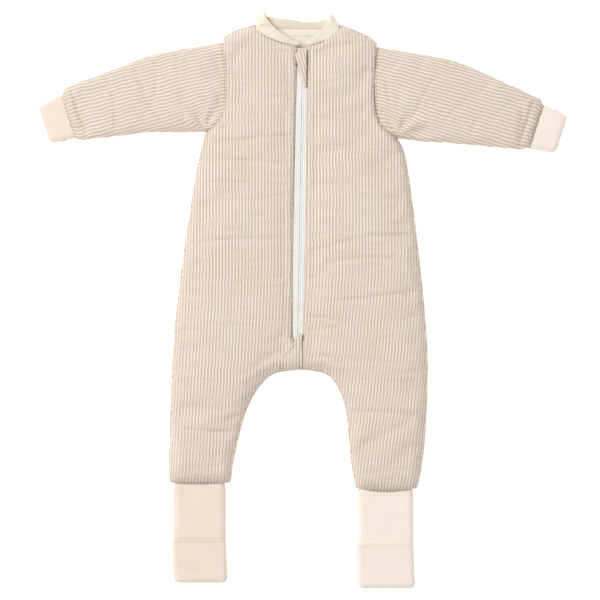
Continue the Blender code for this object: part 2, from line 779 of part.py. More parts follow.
def collar():
    """The rib band round the neck, one piece from zip edge to zip edge."""
    bm = bmesh.new()
    rows = []
    for low, high in collar_stations():
        rows.append([bm.verts.new(low), bm.verts.new(high)])
    for a, b in zip(rows, rows[1:]):
        bm.faces.new([a[0], a[1], b[1], b[0]])
    bmesh.ops.recalc_face_normals(bm, faces=bm.faces)
    bm.faces.ensure_lookup_table()
    if bm.faces[0].normal.z < 0:
        bmesh.ops.reverse_faces(bm, faces=bm.faces)
    add_object("collar", bm, RIB_YELLOW, 0.0, COLLAR_CLOTH)


def neck_tape():
    """The tape that covers the back neck seam inside."""
    top = -BACK_NECK_DROP - BUTT_GAP
    low = LINING_DEPTH + LINING_CLOTH + TOUCH
    box = box_mesh((-NECK_TAPE_SHARE * RIGHT["neck"], top - NECK_TAPE_WIDTH, low),
                   (NECK_TAPE_SHARE * LEFT["neck"], top, low + NECK_TAPE_CLOTH))
    add_object("neck_tape", box, TAPE_ECRU)


# ---------------------------------------------------------------- zip
def zip_strip(near, far, top_level, end_level, low_z, high_z):
    """A strip beside the zip's centre line, between two distances from it."""
    points = [(zip_x(end_level) + near, -end_level), (zip_x(end_level) + far, -end_level),
              (zip_x(top_level) + far, -top_level), (zip_x(top_level) + near, -top_level)]
    return extruded(points, low_z, high_z)


def zip_chain(side, word):
    """Tape, coil and top stop of one side of the zip."""
    s = side["sign"]
    edge = ZIP_OPEN_WIDTH / 2 + TAPE_UNDER
    coil_far = CHAIN_CHANNEL + COIL_WIDTH
    tape = zip_strip(s * CHAIN_CHANNEL, s * edge, ZIP_TOP, CHAIN_END + TAPE_TAIL,
                     TAPE_Z, TAPE_Z + TAPE_CLOTH)
    add_object(f"zip_tape_{word}", tape, ZIP_WHITE)
    chain_top = ZIP_TOP + STOP_LENGTH + BUTT_GAP
    coil = zip_strip(s * CHAIN_CHANNEL, s * coil_far, chain_top, CHAIN_END,
                     COIL_Z, COIL_Z + COIL_HEIGHT)
    add_object(f"zip_coil_{word}", coil, ZIP_WHITE)
    stop = zip_strip(s * CHAIN_CHANNEL, s * coil_far, ZIP_TOP, ZIP_TOP + STOP_LENGTH,
                     COIL_Z, COIL_Z + COIL_HEIGHT)
    add_object(f"zip_top_stop_{word}", stop, METAL)


def zip_bottom_stop():
    """The stop that joins the two sides under the tapes."""
    reach = CHAIN_CHANNEL + COIL_WIDTH
    stop = zip_strip(-reach, reach, CHAIN_END + BUTT_GAP, CHAIN_END + BUTT_GAP + STOP_LENGTH,
                     COIL_Z, COIL_Z + COIL_HEIGHT)
    add_object("zip_bottom_stop", stop, METAL)


def zip_slider():
    """Two plates held by a post, with a bridge for the pull on top."""
    x, y = zip_x(SLIDER_REST), -SLIDER_REST
    half = SLIDER_WIDTH / 2
    post = SLIDER_POST / 2
    low, high = LOW_PLATE_Z + SLIDER_LOW_PLATE, TOP_PLATE_Z
    section = [(-half, LOW_PLATE_Z), (half, LOW_PLATE_Z), (half, low), (post, low), (post, high),
               (half, high), (half, BRIDGE_Z), (-half, BRIDGE_Z), (-half, high), (-post, high),
               (-post, low), (-half, low)]
    bm = extruded(section, -SLIDER_LENGTH / 2, SLIDER_LENGTH / 2)
    bmesh.ops.rotate(bm, verts=bm.verts, matrix=Matrix.Rotation(math.radians(90), 3, "X"))
    bmesh.ops.recalc_face_normals(bm, faces=bm.faces)
    slider = add_object("zip_slider", bm, METAL)
    span, rise = BRIDGE_SPAN / 2, BRIDGE_RISE
    sunk = SLIDER_TOP_PLATE / 2
    arch = [(-span, -sunk), (-span + BRIDGE_BAR, -sunk), (-span + BRIDGE_BAR, rise - BRIDGE_BAR),
            (span - BRIDGE_BAR, rise - BRIDGE_BAR), (span - BRIDGE_BAR, -sunk), (span, -sunk),
            (span, rise - BRIDGE_BAR / 2), (span - BRIDGE_BAR / 2, rise),
            (-span + BRIDGE_BAR / 2, rise), (-span, rise - BRIDGE_BAR / 2)]
    bridge = extruded(arch, -BRIDGE_WIDTH / 2, BRIDGE_WIDTH / 2)
    upright = Matrix(((0, 0, 1), (1, 0, 0), (0, 1, 0)))
    bmesh.ops.transform(bridge, matrix=upright.to_4x4(), verts=bridge.verts)
    bmesh.ops.translate(bridge, verts=bridge.verts, vec=(0.0, 0.0, BRIDGE_Z))
    mesh = bpy.data.meshes.new("slider_bridge_shape")
    bridge.to_mesh(mesh)
    bridge.free()
    shape = bpy.data.objects.new("slider_bridge_shape", mesh)
    SHAPERS.objects.link(shape)
    shape.parent = GARMENT
    shape.hide_render = True
    shape.display_type = "WIRE"
    lean = Matrix.Rotation(-math.atan(ZIP_LEAN), 4, "Z")
    for thing in (slider, shape):
        thing.location = (x, y, 0.0)
        thing.rotation_euler = lean.to_euler()
    join = slider.modifiers.new("bridge", "BOOLEAN")
    join.operation = "UNION"
    join.solver = "EXACT"
    join.object = shape


def zip_pull():
    """A flat tab whose bar turns under the slider's bridge."""
    half = PULL_WIDTH / 2
    tip = half * 0.70
    eye = half - PULL_BAR * 1.6
    outer = [(-half, PULL_BAR), (-half, -PULL_EYE), (-tip, -PULL_LENGTH + tip),
             (-tip * 0.6, -PULL_LENGTH), (tip * 0.6, -PULL_LENGTH), (tip, -PULL_LENGTH + tip),
             (half, -PULL_EYE), (half, PULL_BAR)]
    inner = [(-eye, -PULL_BAR), (eye, -PULL_BAR), (eye, -PULL_EYE), (-eye, -PULL_EYE)]
    curve = bpy.data.curves.new("zip_pull", "CURVE")
    curve.dimensions = "2D"
    curve.fill_mode = "BOTH"
    curve.extrude = PULL_THICK / 2
    for run in (outer, inner):
        spline = curve.splines.new("POLY")
        spline.points.add(len(run) - 1)
        for point, (px, py) in zip(spline.points, run):
            point.co = (px, py, 0.0, 1.0)
        spline.use_cyclic_u = True
    flat = bpy.data.objects.new("zip_pull_outline", curve)
    SHAPERS.objects.link(flat)
    graph = bpy.context.evaluated_depsgraph_get()
    mesh = bpy.data.meshes.new_from_object(flat.evaluated_get(graph))
    bpy.data.objects.remove(flat, do_unlink=True)
    bm = bmesh.new()
    bm.from_mesh(mesh)
    bpy.data.meshes.remove(mesh)
    bmesh.ops.remove_doubles(bm, verts=bm.verts, dist=0.00001)
    bmesh.ops.recalc_face_normals(bm, faces=bm.faces)
    pull = add_object("zip_pull", bm, METAL)
    pull.location = (zip_x(SLIDER_REST), -SLIDER_REST, PULL_AXIS_Z)
    pull.rotation_euler.z = -math.atan(ZIP_LEAN)


def zip_garage():
    """The folded muslin flap over the slider, sewn along the wearer's left zip edge."""
    top = ZIP_TOP + GARAGE_DROP
    hinge = ZIP_OPEN_WIDTH / 2 - 2 * BUTT_GAP
    end = top + GARAGE_LENGTH
    points = [(zip_x(end) + hinge, -end), (zip_x(top) + hinge, -top),
              (zip_x(top) + hinge - GARAGE_TOP_SHARE * GARAGE_REACH, -top),
              (zip_x(top) + hinge - GARAGE_REACH, -top - GARAGE_SLOPE),
              (zip_x(end) + hinge - GARAGE_TIP, -end)]
    flap = add_object("zip_garage", extruded(points, GARAGE_Z, GARAGE_Z + GARAGE_CLOTH), MUSLIN)
    move_origin(flap, (zip_x(top) + hinge, -top, GARAGE_Z + GARAGE_CLOTH))


def zip_guard():
    """The folded muslin triangle over the zip's lower end."""
    top = CHAIN_END - GUARD_RISE
    end = top + GUARD_LENGTH
    right = zip_x(top) + ZIP_OPEN_WIDTH / 2
    points = [(right, -end), (right, -top), (right - GUARD_TOP, -top),
              (right - GUARD_CORNER[0], -top - GUARD_CORNER[1]), (right - GUARD_REACH, -end)]
    add_object("zip_guard", extruded(points, GARAGE_Z, GARAGE_Z + GARAGE_CLOTH), MUSLIN)


def zip_underlap():
    """The strip behind the zip that keeps it off the chest."""
    half = UNDERLAP_WIDTH / 2
    strip = zip_strip(-half, half, ZIP_TOP, CHAIN_END + TAPE_TAIL,
                      UNDERLAP_Z, UNDERLAP_Z + UNDERLAP_CLOTH)
    add_object("zip_underlap", strip, MUSLIN)


# ---------------------------------------------------------------- where the whole lies
def middle_of_the_whole():
    """How far the garment's frame moves so that the middle of its box is the origin."""
    ends = []
    for side in (RIGHT, LEFT):
        root, wrist, along, across = sleeve_frame(side)
        end = wrist + along * (BUTT_GAP + side["cuff_length"]) + across * side["cuff_end"] / 2
        ends.append(end.x)
    top = max(high.y for low, high in collar_stations())
    bottom = min(foot_toe(RIGHT), foot_toe(LEFT))
    return Vector((-sum(ends) / 2, -(top + bottom) / 2, 0.0))


clear_scene()
PARTS = make_collection(OBJECT_NAME)
SHAPERS = make_collection("cutters")
GARMENT = bpy.data.objects.new("garment", None)
PARTS.objects.link(GARMENT)
GARMENT.location = middle_of_the_whole()
bpy.context.view_layer.update()

MUSLIN = make_material("striped_muslin", (0.80, 0.73, 0.65), 0.85)
FILLING = make_material("polyester_wadding", (0.93, 0.92, 0.90), 0.95)
JERSEY = make_material("jersey_lining", (0.90, 0.87, 0.82), 0.90)
RIB = make_material("rib_knit", (0.94, 0.86, 0.76), 0.90)
RIB_YELLOW = make_material("collar_rib", (0.95, 0.91, 0.80), 0.90)
TAPE_ECRU = make_material("neck_tape_cotton", (0.93, 0.86, 0.70), 0.90)
ZIP_WHITE = make_material("zip_polyester", (0.90, 0.90, 0.88), 0.70)
METAL = make_material("painted_zinc", (0.86, 0.85, 0.83), 0.45, 0.2)

back_panels()
for half_body, side_word in ((LEFT, "left"), (RIGHT, "right")):
    front_panels(half_body, side_word)
    sleeve(half_body, side_word)
    foot(half_body, side_word)
    zip_chain(half_body, side_word)
collar()
neck_tape()
zip_bottom_stop()
zip_slider()
zip_pull()
zip_garage()
zip_guard()
zip_underlap()
bpy.context.view_layer.update()
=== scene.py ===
# %% [markdown]
# # A baby sleeping bag in striped muslin
#
# The garment lies on its back: a padded overall with two sleeves, rib cuffs, feet that fold
# over and a zip from the neck to the crotch. The fixed frame comes first: it holds every
# piece at its real place and size, and each soft piece below is drawn from its outline.

import json
import math
from collections import Counter

import bmesh
import bpy
import numpy as np
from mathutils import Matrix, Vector, geometry, noise
from mathutils.bvhtree import BVHTree


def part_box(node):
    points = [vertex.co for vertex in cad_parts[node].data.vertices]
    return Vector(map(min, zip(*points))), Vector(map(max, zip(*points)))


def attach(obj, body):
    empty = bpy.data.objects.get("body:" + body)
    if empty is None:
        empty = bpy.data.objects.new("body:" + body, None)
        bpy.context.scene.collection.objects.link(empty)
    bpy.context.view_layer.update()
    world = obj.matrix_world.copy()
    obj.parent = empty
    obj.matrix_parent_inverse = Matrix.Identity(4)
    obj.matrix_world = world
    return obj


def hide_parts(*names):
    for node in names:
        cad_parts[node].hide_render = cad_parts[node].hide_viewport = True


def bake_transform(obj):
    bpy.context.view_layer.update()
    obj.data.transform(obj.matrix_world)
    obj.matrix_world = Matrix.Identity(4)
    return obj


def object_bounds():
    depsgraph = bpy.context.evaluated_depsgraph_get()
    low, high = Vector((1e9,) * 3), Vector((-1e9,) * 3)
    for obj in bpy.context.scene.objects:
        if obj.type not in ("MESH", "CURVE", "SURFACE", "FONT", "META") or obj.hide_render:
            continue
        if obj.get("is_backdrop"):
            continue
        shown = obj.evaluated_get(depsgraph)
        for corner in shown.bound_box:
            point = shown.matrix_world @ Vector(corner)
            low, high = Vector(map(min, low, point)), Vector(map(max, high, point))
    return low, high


MM = 0.001                  # one millimetre in metres
WELD = 0.01 * MM            # corners this close are one
ABOVE_ALL = 0.2             # a height from which to look straight down
LAYERS = ("shell", "wadding", "lining")

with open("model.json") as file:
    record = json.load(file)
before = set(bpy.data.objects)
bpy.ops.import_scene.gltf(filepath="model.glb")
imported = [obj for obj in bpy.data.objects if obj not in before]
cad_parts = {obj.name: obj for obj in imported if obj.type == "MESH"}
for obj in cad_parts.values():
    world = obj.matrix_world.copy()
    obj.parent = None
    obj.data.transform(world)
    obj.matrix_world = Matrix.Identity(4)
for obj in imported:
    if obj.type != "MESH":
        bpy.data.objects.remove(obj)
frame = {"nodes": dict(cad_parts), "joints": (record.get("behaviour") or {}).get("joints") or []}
bpy.context.view_layer.update()
cad_low, cad_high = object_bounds()
print("CAD box:", [round(v, 4) for v in cad_low], [round(v, 4) for v in cad_high])

# %% [markdown]
# ## Reading an outline
#
# Each padded panel's outer face is bounded by seams, where it curves down to its other half,
# and by open edges such as the neck, an armhole or a hem. A pattern cutter would call this the
# panel's outline. It is taken from the frame's own solid: the faces that look up (or down)
# are kept, and their border is walked once around.


# %% Outline of a panel
def facing_loop(node, up, middle):
    """The border of a shell's outer face, above (up 1) or below (up -1) its seam's height."""
    bm = bmesh.new()
    bm.from_mesh(frame["nodes"][node].data)
    bmesh.ops.remove_doubles(bm, verts=bm.verts, dist=WELD)
    bm.normal_update()
    away = [face for face in bm.faces
            if face.normal.z * up < 0.05 or (face.calc_center_median().z - middle) * up < 0]
    bmesh.ops.delete(bm, geom=away, context="FACES")
    following = {}
    for edge in bm.edges:
        if edge.is_boundary:
            loop = edge.link_loops[0]
            following[loop.vert] = loop.link_loop_next.vert
    longest = []
    while following:
        start, here = next(iter(following.items()))
        del following[start]
        walk = [start.co.copy()]
        while here in following:
            walk.append(here.co.copy())
            here = following.pop(here)
        if len(walk) > len(longest):
            longest = walk
    bm.free()
    return longest[::up]


def split_runs(loop, middle, half, close=0.004):
    """The loop as runs between its corners: (kind, points), where kind is seam or open."""
    points = np.array([(p.x, p.y) for p in loop])
    low = [abs(p.z - middle) < 0.4 * half for p in loop]
    count = len(points)
    kinds = ["seam" if low[i] and low[(i + 1) % count] else "open" for i in range(count)]
    step = np.roll(points, -1, 0) - points
    heading = np.arctan2(step[:, 1], step[:, 0])
    corners = []
    for i in range(count):
        turn = math.degrees(abs((heading[i] - heading[i - 1] + math.pi) % (2 * math.pi) - math.pi))
        if kinds[i] != kinds[i - 1] or turn > 38:
            corners.append(i)
    runs = []
    for a, b in zip(corners, corners[1:] + [corners[0] + count]):
        run = [points[k % count] for k in range(a, b + 1)]
        kept = [run[0]]
        for point in run[1:-1]:
            if min(np.linalg.norm(point - kept[-1]), np.linalg.norm(point - run[-1])) > close:
                kept.append(point)
        kept.append(run[-1])
        runs.append((kinds[a % count], np.array(kept)))
    return [run for run in runs if np.linalg.norm(np.diff(run[1], axis=0), axis=1).sum() > 0.0015]


def smooth_run(points, spacing):
    """Evenly spaced points on a smooth curve through a run's points, ends included."""
    gap = np.linalg.norm(np.diff(points, axis=0), axis=1)
    slope = np.diff(points, axis=0) / gap[:, None]
    tangent = np.vstack([slope[:1], slope[-1:]])
    if len(points) > 2:
        before, after = gap[:-1, None], gap[1:, None]
        inner = (slope[:-1] * before + slope[1:] * after) / (before + after)
        tangent = np.vstack([1.5 * slope[:1] - 0.5 * inner[:1], inner,
                             1.5 * slope[-1:] - 0.5 * inner[-1:]])
    fine = []
    for i, length in enumerate(gap):
        t = np.linspace(0, 1, 12, endpoint=False)[:, None]
        h00, h10 = 2 * t ** 3 - 3 * t ** 2 + 1, t ** 3 - 2 * t ** 2 + t
        h01, h11 = 3 * t ** 2 - 2 * t ** 3, t ** 3 - t ** 2
        fine.append(h00 * points[i] + h10 * length * tangent[i]
                    + h01 * points[i + 1] + h11 * length * tangent[i + 1])
    fine = np.vstack(fine + [points[-1:]])
    reached = np.concatenate([[0], np.cumsum(np.linalg.norm(np.diff(fine, axis=0), axis=1))])
    places = np.linspace(0, reached[-1], max(2, round(reached[-1] / spacing) + 1))
    return np.stack([np.interp(places, reached, fine[:, k]) for k in (0, 1)], axis=1)


# %% [markdown]
# ## Heights
#
# The laid body is as thick as two padded panels and the air between them. Its side seams lie
# halfway up. The heights come from the frame's boxes, so nothing here is guessed twice.

# %% Heights of the laid garment
SEAM_Z = (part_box("back_shell")[1].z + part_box("front_left_shell")[0].z) / 2
BODY_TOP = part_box("front_left_shell")[1].z
TAPE_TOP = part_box("zip_tape_left")[1].z
FOOT_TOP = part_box("foot_cuff_left")[1].z
print("seam at", round(SEAM_Z / MM, 1), "mm, top at", round(BODY_TOP / MM, 1), "mm")

# %% [markdown]
# ## Filling an outline with cloth
#
# A cut piece of cloth has no preferred direction once it is padded, so it is filled with
# nearly equal triangles: points on a staggered grid inside the outline, joined by a Delaunay
# triangulation that keeps the outline's own edges.


# %% Fill an outline
def distance_to(points, line):
    """How far each point is from a line of points, in plan."""
    best = np.full(len(points), 1e9)
    for a, b in zip(line, line[1:]):
        along = b - a
        share = np.clip(((points - a) @ along) / max(along @ along, 1e-12), 0, 1)
        best = np.minimum(best, np.linalg.norm(points - a - share[:, None] * along, axis=1))
    return best


def inside(points, rim):
    """Which points lie inside a closed outline."""
    result = np.zeros(len(points), bool)
    x, y = points[:, 0], points[:, 1]
    for a, b in zip(rim, np.roll(rim, -1, 0)):
        crosses = (a[1] > y) != (b[1] > y)
        with np.errstate(divide="ignore", invalid="ignore"):
            at = a[0] + (y - a[1]) * (b[0] - a[0]) / (b[1] - a[1])
        result ^= crosses & (x < at)
    return result


def nearest(points, lines, spacing=None):
    """How far each point is from the nearest line; with a spacing, each line is smoothed."""
    return np.min([distance_to(points, smooth_run(line, spacing) if spacing else line)
                   for line in lines], axis=0)


def fill(runs, spacing):
    """Points and triangles that fill the outline made of these runs."""
    rim = np.vstack([smooth_run(points, spacing)[:-1] for kind, points in runs])
    low, high = rim.min(0), rim.max(0)
    rows = np.arange(low[1] + spacing / 2, high[1], spacing * 0.866)
    grid = [(x + (spacing / 2 if k % 2 else 0), y) for k, y in enumerate(rows)
            for x in np.arange(low[0], high[0] + spacing, spacing)]
    grid = np.array(grid)
    grid = grid[inside(grid, rim)]
    closed = np.vstack([rim, rim[:1]])
    grid = grid[distance_to(grid, closed) > 0.62 * spacing]
    count = len(rim)
    points = [Vector(p) for p in np.vstack([rim, grid])]
    edges = [(i, (i + 1) % count) for i in range(count)]
    verts, _, faces, _, _, _ = geometry.delaunay_2d_cdt(points, edges, [], 1, 1e-7, True)
    verts = np.array([tuple(v) for v in verts])
    kept = inside(verts[np.array(faces)].mean(1), rim)
    return verts, [tuple(face) for face, keep in zip(faces, kept) if keep]


def round_in(distance, reach):
    """0 on an edge and 1 from reach on, rising as a quarter of an ellipse."""
    share = np.clip(distance / reach, 0, 1)
    return np.sqrt(np.clip(1 - (1 - share) ** 2, 0, 1))


def ease(distance, reach):
    """0 at zero and 1 from reach on, smooth at both ends."""
    share = np.clip(distance / reach, 0, 1)
    return share * share * (3 - 2 * share)


def facing(flat, faces, up=1):
    """The triangles, wound so that they face up (1) or down (-1)."""
    a, b, c = (flat[k] for k in faces[0])
    area = (b[0] - a[0]) * (c[1] - a[1]) - (b[1] - a[1]) * (c[0] - a[0])
    return faces if area * up >= 0 else [face[::-1] for face in faces]


# %% [markdown]
# ## From points to an object
#
# Each piece is a plain mesh whose vertices are in the frame's own coordinates. Its UV map is in
# metres: u runs across the woven stripes and v along them, so that the stripes keep their real
# width and stay on the cloth when a sleeve is raised.


# %% Make an object
def new_object(name, data):
    """An object at the origin, linked to the scene."""
    thing = bpy.data.objects.new(name, data)
    bpy.context.scene.collection.objects.link(thing)
    return thing


def evaluated_mesh(thing):
    """A new mesh of what an object's modifiers, or its curve, make."""
    graph = bpy.context.evaluated_depsgraph_get()
    return bpy.data.meshes.new_from_object(thing.evaluated_get(graph))


def make_object(name, verts, faces, materials, uv=None, smooth=True):
    """A mesh object at the origin, with an optional UV for each vertex."""
    mesh = bpy.data.meshes.new(name)
    mesh.from_pydata([tuple(v) for v in verts], [], faces)
    for material in materials:
        mesh.materials.append(material)
    thing = new_object(name, mesh)
    if uv is not None:
        set_uv(thing, np.asarray(uv))
    if smooth:
        mesh.shade_smooth()
    return thing


def bake_modifiers(thing):
    """Replace the object's mesh by what its modifiers make of it."""
    mesh = evaluated_mesh(thing)
    thing.modifiers.clear()
    old = thing.data
    thing.data = mesh
    bpy.data.meshes.remove(old)
    mesh.name = thing.name
    return thing


def coordinates(thing):
    """The object's vertices as an array."""
    flat = np.zeros(len(thing.data.vertices) * 3, np.float32)
    thing.data.vertices.foreach_get("co", flat)
    return flat.reshape(-1, 3).astype(float)


def set_coordinates(thing, points):
    """Move the object's vertices to these points."""
    thing.data.vertices.foreach_set("co", points.astype(np.float32).ravel())
    thing.data.update()


def set_uv(thing, uv):
    """Give each vertex its place on the flat cloth, in metres."""
    layer = thing.data.uv_layers.get("cloth") or thing.data.uv_layers.new(name="cloth")
    corners = np.zeros(len(thing.data.loops), np.int32)
    thing.data.loops.foreach_get("vertex_index", corners)
    layer.data.foreach_set("uv", uv[corners].astype(np.float32).ravel())


def subdivide(thing):
    """One level of subdivision, made real."""
    finer = thing.modifiers.new("finer", "SUBSURF")
    finer.levels = finer.render_levels = 1
    return bake_modifiers(thing)


def thicken(thing, thickness, share, inner_material=1):
    """Give the cloth its padding, inwards; share is the part of it kept at each vertex."""
    group = thing.vertex_groups.new(name="padding")
    for level in np.unique(np.round(share, 2)):
        chosen = np.nonzero(np.round(share, 2) == level)[0].tolist()
        group.add(chosen, float(level), "REPLACE")
    wall = thing.modifiers.new("padding", "SOLIDIFY")
    wall.thickness = thickness
    wall.offset = -1.0
    wall.vertex_group = group.name
    wall.material_offset = inner_material
    wall.material_offset_rim = 0
    bake_modifiers(thing)
    thing.vertex_groups.clear()


def two_faced(name, flat, faces, shared, upper, lower, materials):
    """An upper and a lower face over one outline, joined where their points are shared."""
    below = np.where(shared, np.arange(len(flat)), len(flat) + np.cumsum(~shared) - 1)
    verts = np.vstack([np.column_stack([flat, upper]), np.column_stack([flat, lower])[~shared]])
    faces = facing(flat, faces)
    faces = faces + [tuple(int(below[k]) for k in face[::-1]) for face in faces]
    return make_object(name, verts, faces, materials)


# %% [markdown]
# ## Swelling a padded panel
#
# Wadding presses the muslin outwards from within, while the seams hold it. The cloth
# simulation does just that: the panel's border is pinned, a small pressure pushes the cloth
# out, gravity is off, and after twenty steps the result is kept. The movement is capped, so
# that a panel never grows past the space its solid holds.


# %% Cloth simulation
CLOTH_STEPS = 20


def swell(thing, pinned, pressure, cap, slack=0.02):
    """Blow up the cloth between its pinned points and keep the capped result."""
    start = coordinates(thing)
    group = thing.vertex_groups.new(name="seams")
    group.add(np.nonzero(pinned)[0].tolist(), 1.0, "REPLACE")
    cloth = thing.modifiers.new("cloth", "CLOTH")
    settings = cloth.settings
    settings.quality = 4
    settings.mass = 0.25
    settings.tension_stiffness = settings.compression_stiffness = 12
    settings.shear_stiffness = 6
    settings.bending_stiffness = 0.6
    settings.use_pressure = True
    settings.uniform_pressure_force = pressure
    settings.shrink_min = -slack
    settings.vertex_group_mass = group.name
    settings.effector_weights.gravity = 0.0
    cloth.point_cache.frame_start, cloth.point_cache.frame_end = 1, CLOTH_STEPS
    scene = bpy.context.scene
    for step in range(1, CLOTH_STEPS + 1):
        scene.frame_set(step)
    bake_modifiers(thing)
    scene.frame_set(1)
    thing.vertex_groups.clear()
    moved = coordinates(thing) - start
    length = np.linalg.norm(moved, axis=1)
    scale = cap * np.tanh(length / cap) / np.maximum(length, 1e-9)
    set_coordinates(thing, start + moved * scale[:, None])
    print(thing.name, "swelled by up to", round(float((length * scale).max()) / MM, 1), "mm")


# %% [markdown]
# ## Colours and nodes
#
# Colours are written as they look on screen, in sRGB, and turned to the linear values that
# Blender computes with. One small function adds a node with its settings and links.


# %% Material helpers
def linear(code):
    """A colour such as F4EADC as linear red, green, blue and alpha."""
    values = [int(code[i:i + 2], 16) / 255 for i in (0, 2, 4)]
    return [v / 12.92 if v <= 0.04045 else ((v + 0.055) / 1.055) ** 2.4 for v in values] + [1.0]


def add_node(tree, kind, inputs=None, links=None, **settings):
    """Add a node, set its properties and input values, and link its inputs."""
    node = tree.nodes.new(kind)
    for key, value in settings.items():
        setattr(node, key, value)
    for key, value in (inputs or {}).items():
        node.inputs[key].default_value = value
    for key, socket in (links or {}).items():
        tree.links.new(socket, node.inputs[key])
    return node


def texture(tree, kind, uv, values, **settings):
    """A texture node that is laid by a UV map, so it stays on the cloth."""
    return add_node(tree, f"ShaderNodeTex{kind}", values, {"Vector": uv}, **settings)


def cloth_map(tree):
    """The place on the flat cloth, in metres."""
    return add_node(tree, "ShaderNodeUVMap", uv_map="cloth").outputs["UV"]


def start_material(name, roughness, sheen=0.0, metallic=0.0):
    """A material with a Principled shader: its tree and the shader."""
    material = bpy.data.materials.new(name)
    material.use_nodes = True
    tree = material.node_tree
    tree.nodes.clear()
    shader = add_node(tree, "ShaderNodeBsdfPrincipled",
                      {"Roughness": roughness, "Sheen Weight": sheen, "Metallic": metallic,
                       "Sheen Roughness": 0.5})
    add_node(tree, "ShaderNodeOutputMaterial", links={"Surface": shader.outputs["BSDF"]})
    return material, tree, shader


def plain_material(name, roughness, code, more=None, **settings):
    """A material of one even colour, with any other values of its shader in more."""
    material, tree, shader = start_material(name, roughness, **settings)
    shader.inputs["Base Color"].default_value = linear(code)
    for key, value in (more or {}).items():
        shader.inputs[key].default_value = value
    return material


def bump(tree, height, distance, strength=1.0, under=None):
    """A bump from a height, on top of another bump's normal."""
    links = {"Height": height}
    if under is not None:
        links["Normal"] = under.outputs["Normal"]
    return add_node(tree, "ShaderNodeBump", {"Distance": distance, "Strength": strength}, links)


# %% [markdown]
# ## Striped double-gauze muslin
#
# Two thin layers of loosely woven cotton, caught together so that they pucker. The stripes are
# dyed into the yarn: cream and taupe, 2.4 mm each. The eye sees soft-edged stripes that wander a
# little, a rib where each stripe puckers, and no shine at all.

# %% Muslin
STRIPE_PITCH = 4.75 * MM
WAVES_PER_METRE = math.pi / 10   # a wave texture of scale 1 repeats every 0.314 m

muslin, tree, shader = start_material("striped_double_gauze", 0.92, sheen=0.03)
uv = cloth_map(tree)
stripes = texture(tree, "Wave", uv, {"Scale": WAVES_PER_METRE / STRIPE_PITCH, "Distortion": 1.6,
                                     "Detail": 2.0, "Detail Scale": 0.9}, bands_direction="X")
dye = add_node(tree, "ShaderNodeValToRGB", links={"Fac": stripes.outputs["Fac"]})
dye.color_ramp.interpolation = "EASE"
for element, place, code in zip(dye.color_ramp.elements, (0.26, 0.66), ("D0BEAC", "EDE0D4")):
    element.position, element.color = place, linear(code)
# washed cotton is a little warmer in places, over about 8 cm
patches = texture(tree, "Noise", uv, {"Scale": 12.0, "Detail": 2.0})
warmth = add_node(tree, "ShaderNodeMapRange",
                  {"From Min": 0.35, "From Max": 0.65, "To Min": 0.0, "To Max": 0.35},
                  {"Value": patches.outputs["Fac"]})
tinted = add_node(tree, "ShaderNodeMix", links={0: warmth.outputs["Result"],
                                                6: dye.outputs["Color"]},
                  data_type="RGBA", blend_type="MULTIPLY")
tinted.inputs[7].default_value = linear("FFF5EA")
tree.links.new(tinted.outputs[2], shader.inputs["Base Color"])
# puckers of the gauze: 3 to 5 mm long across the stripes, shorter along them
gauze_place = add_node(tree, "ShaderNodeMapping", {"Scale": (0.6, 1.5, 1.0)}, {"Vector": uv})
puckers = texture(tree, "Noise", gauze_place.outputs["Vector"], {"Scale": 190.0, "Detail": 3.0})
# the weave itself is 0.5 mm, drawn at 1 mm so that it still shows
weave = texture(tree, "Noise", uv, {"Scale": 1100.0, "Detail": 1.0})
ribbed = bump(tree, stripes.outputs["Fac"], 0.5 * MM, 0.5)
puckered = bump(tree, puckers.outputs["Fac"], 1.6 * MM, 0.5, ribbed)
woven = bump(tree, weave.outputs["Fac"], 0.25 * MM, 0.4, puckered)
tree.links.new(woven.outputs["Normal"], shader.inputs["Normal"])


# %% [markdown]
# ## Knits and plain cotton
#
# The cuffs and collar are fine rib knit: cotton with upright wales about 1.3 mm apart, matt and
# slightly fuzzy. The lining is a smooth jersey, a little greyer than the outside.


# %% Knits
def knit(name, light, dark, pitch, depth, sheen=0.05):
    """Rib knit: wales across u, with small stitches along them."""
    material, tree, shader = start_material(name, 0.92, sheen)
    uv = cloth_map(tree)
    wales = texture(tree, "Wave", uv, {"Scale": WAVES_PER_METRE / pitch, "Distortion": 0.8,
                                       "Detail": 1.0, "Detail Scale": 1.0}, bands_direction="X")
    stitches = texture(tree, "Wave", uv, {"Scale": WAVES_PER_METRE / (0.8 * pitch),
                                          "Distortion": 1.5, "Detail": 1.0,
                                          "Detail Scale": 2.0}, bands_direction="Y")
    cloud = texture(tree, "Noise", uv, {"Scale": 28.0, "Detail": 3.0})
    shade = add_node(tree, "ShaderNodeMapRange",
                     {"From Min": 0.35, "From Max": 0.7, "To Min": 0.0, "To Max": 1.0},
                     {"Value": cloud.outputs["Fac"]})
    colour = add_node(tree, "ShaderNodeMix", links={0: shade.outputs["Result"]}, data_type="RGBA")
    colour.inputs[6].default_value = linear(light)
    colour.inputs[7].default_value = linear(dark)
    tree.links.new(colour.outputs[2], shader.inputs["Base Color"])
    upright = bump(tree, wales.outputs["Fac"], depth, 0.5)
    looped = bump(tree, stitches.outputs["Fac"], depth * 0.5, 0.4, upright)
    soft = bump(tree, cloud.outputs["Fac"], 2.0 * MM, 0.35, looped)
    tree.links.new(soft.outputs["Normal"], shader.inputs["Normal"])
    return material


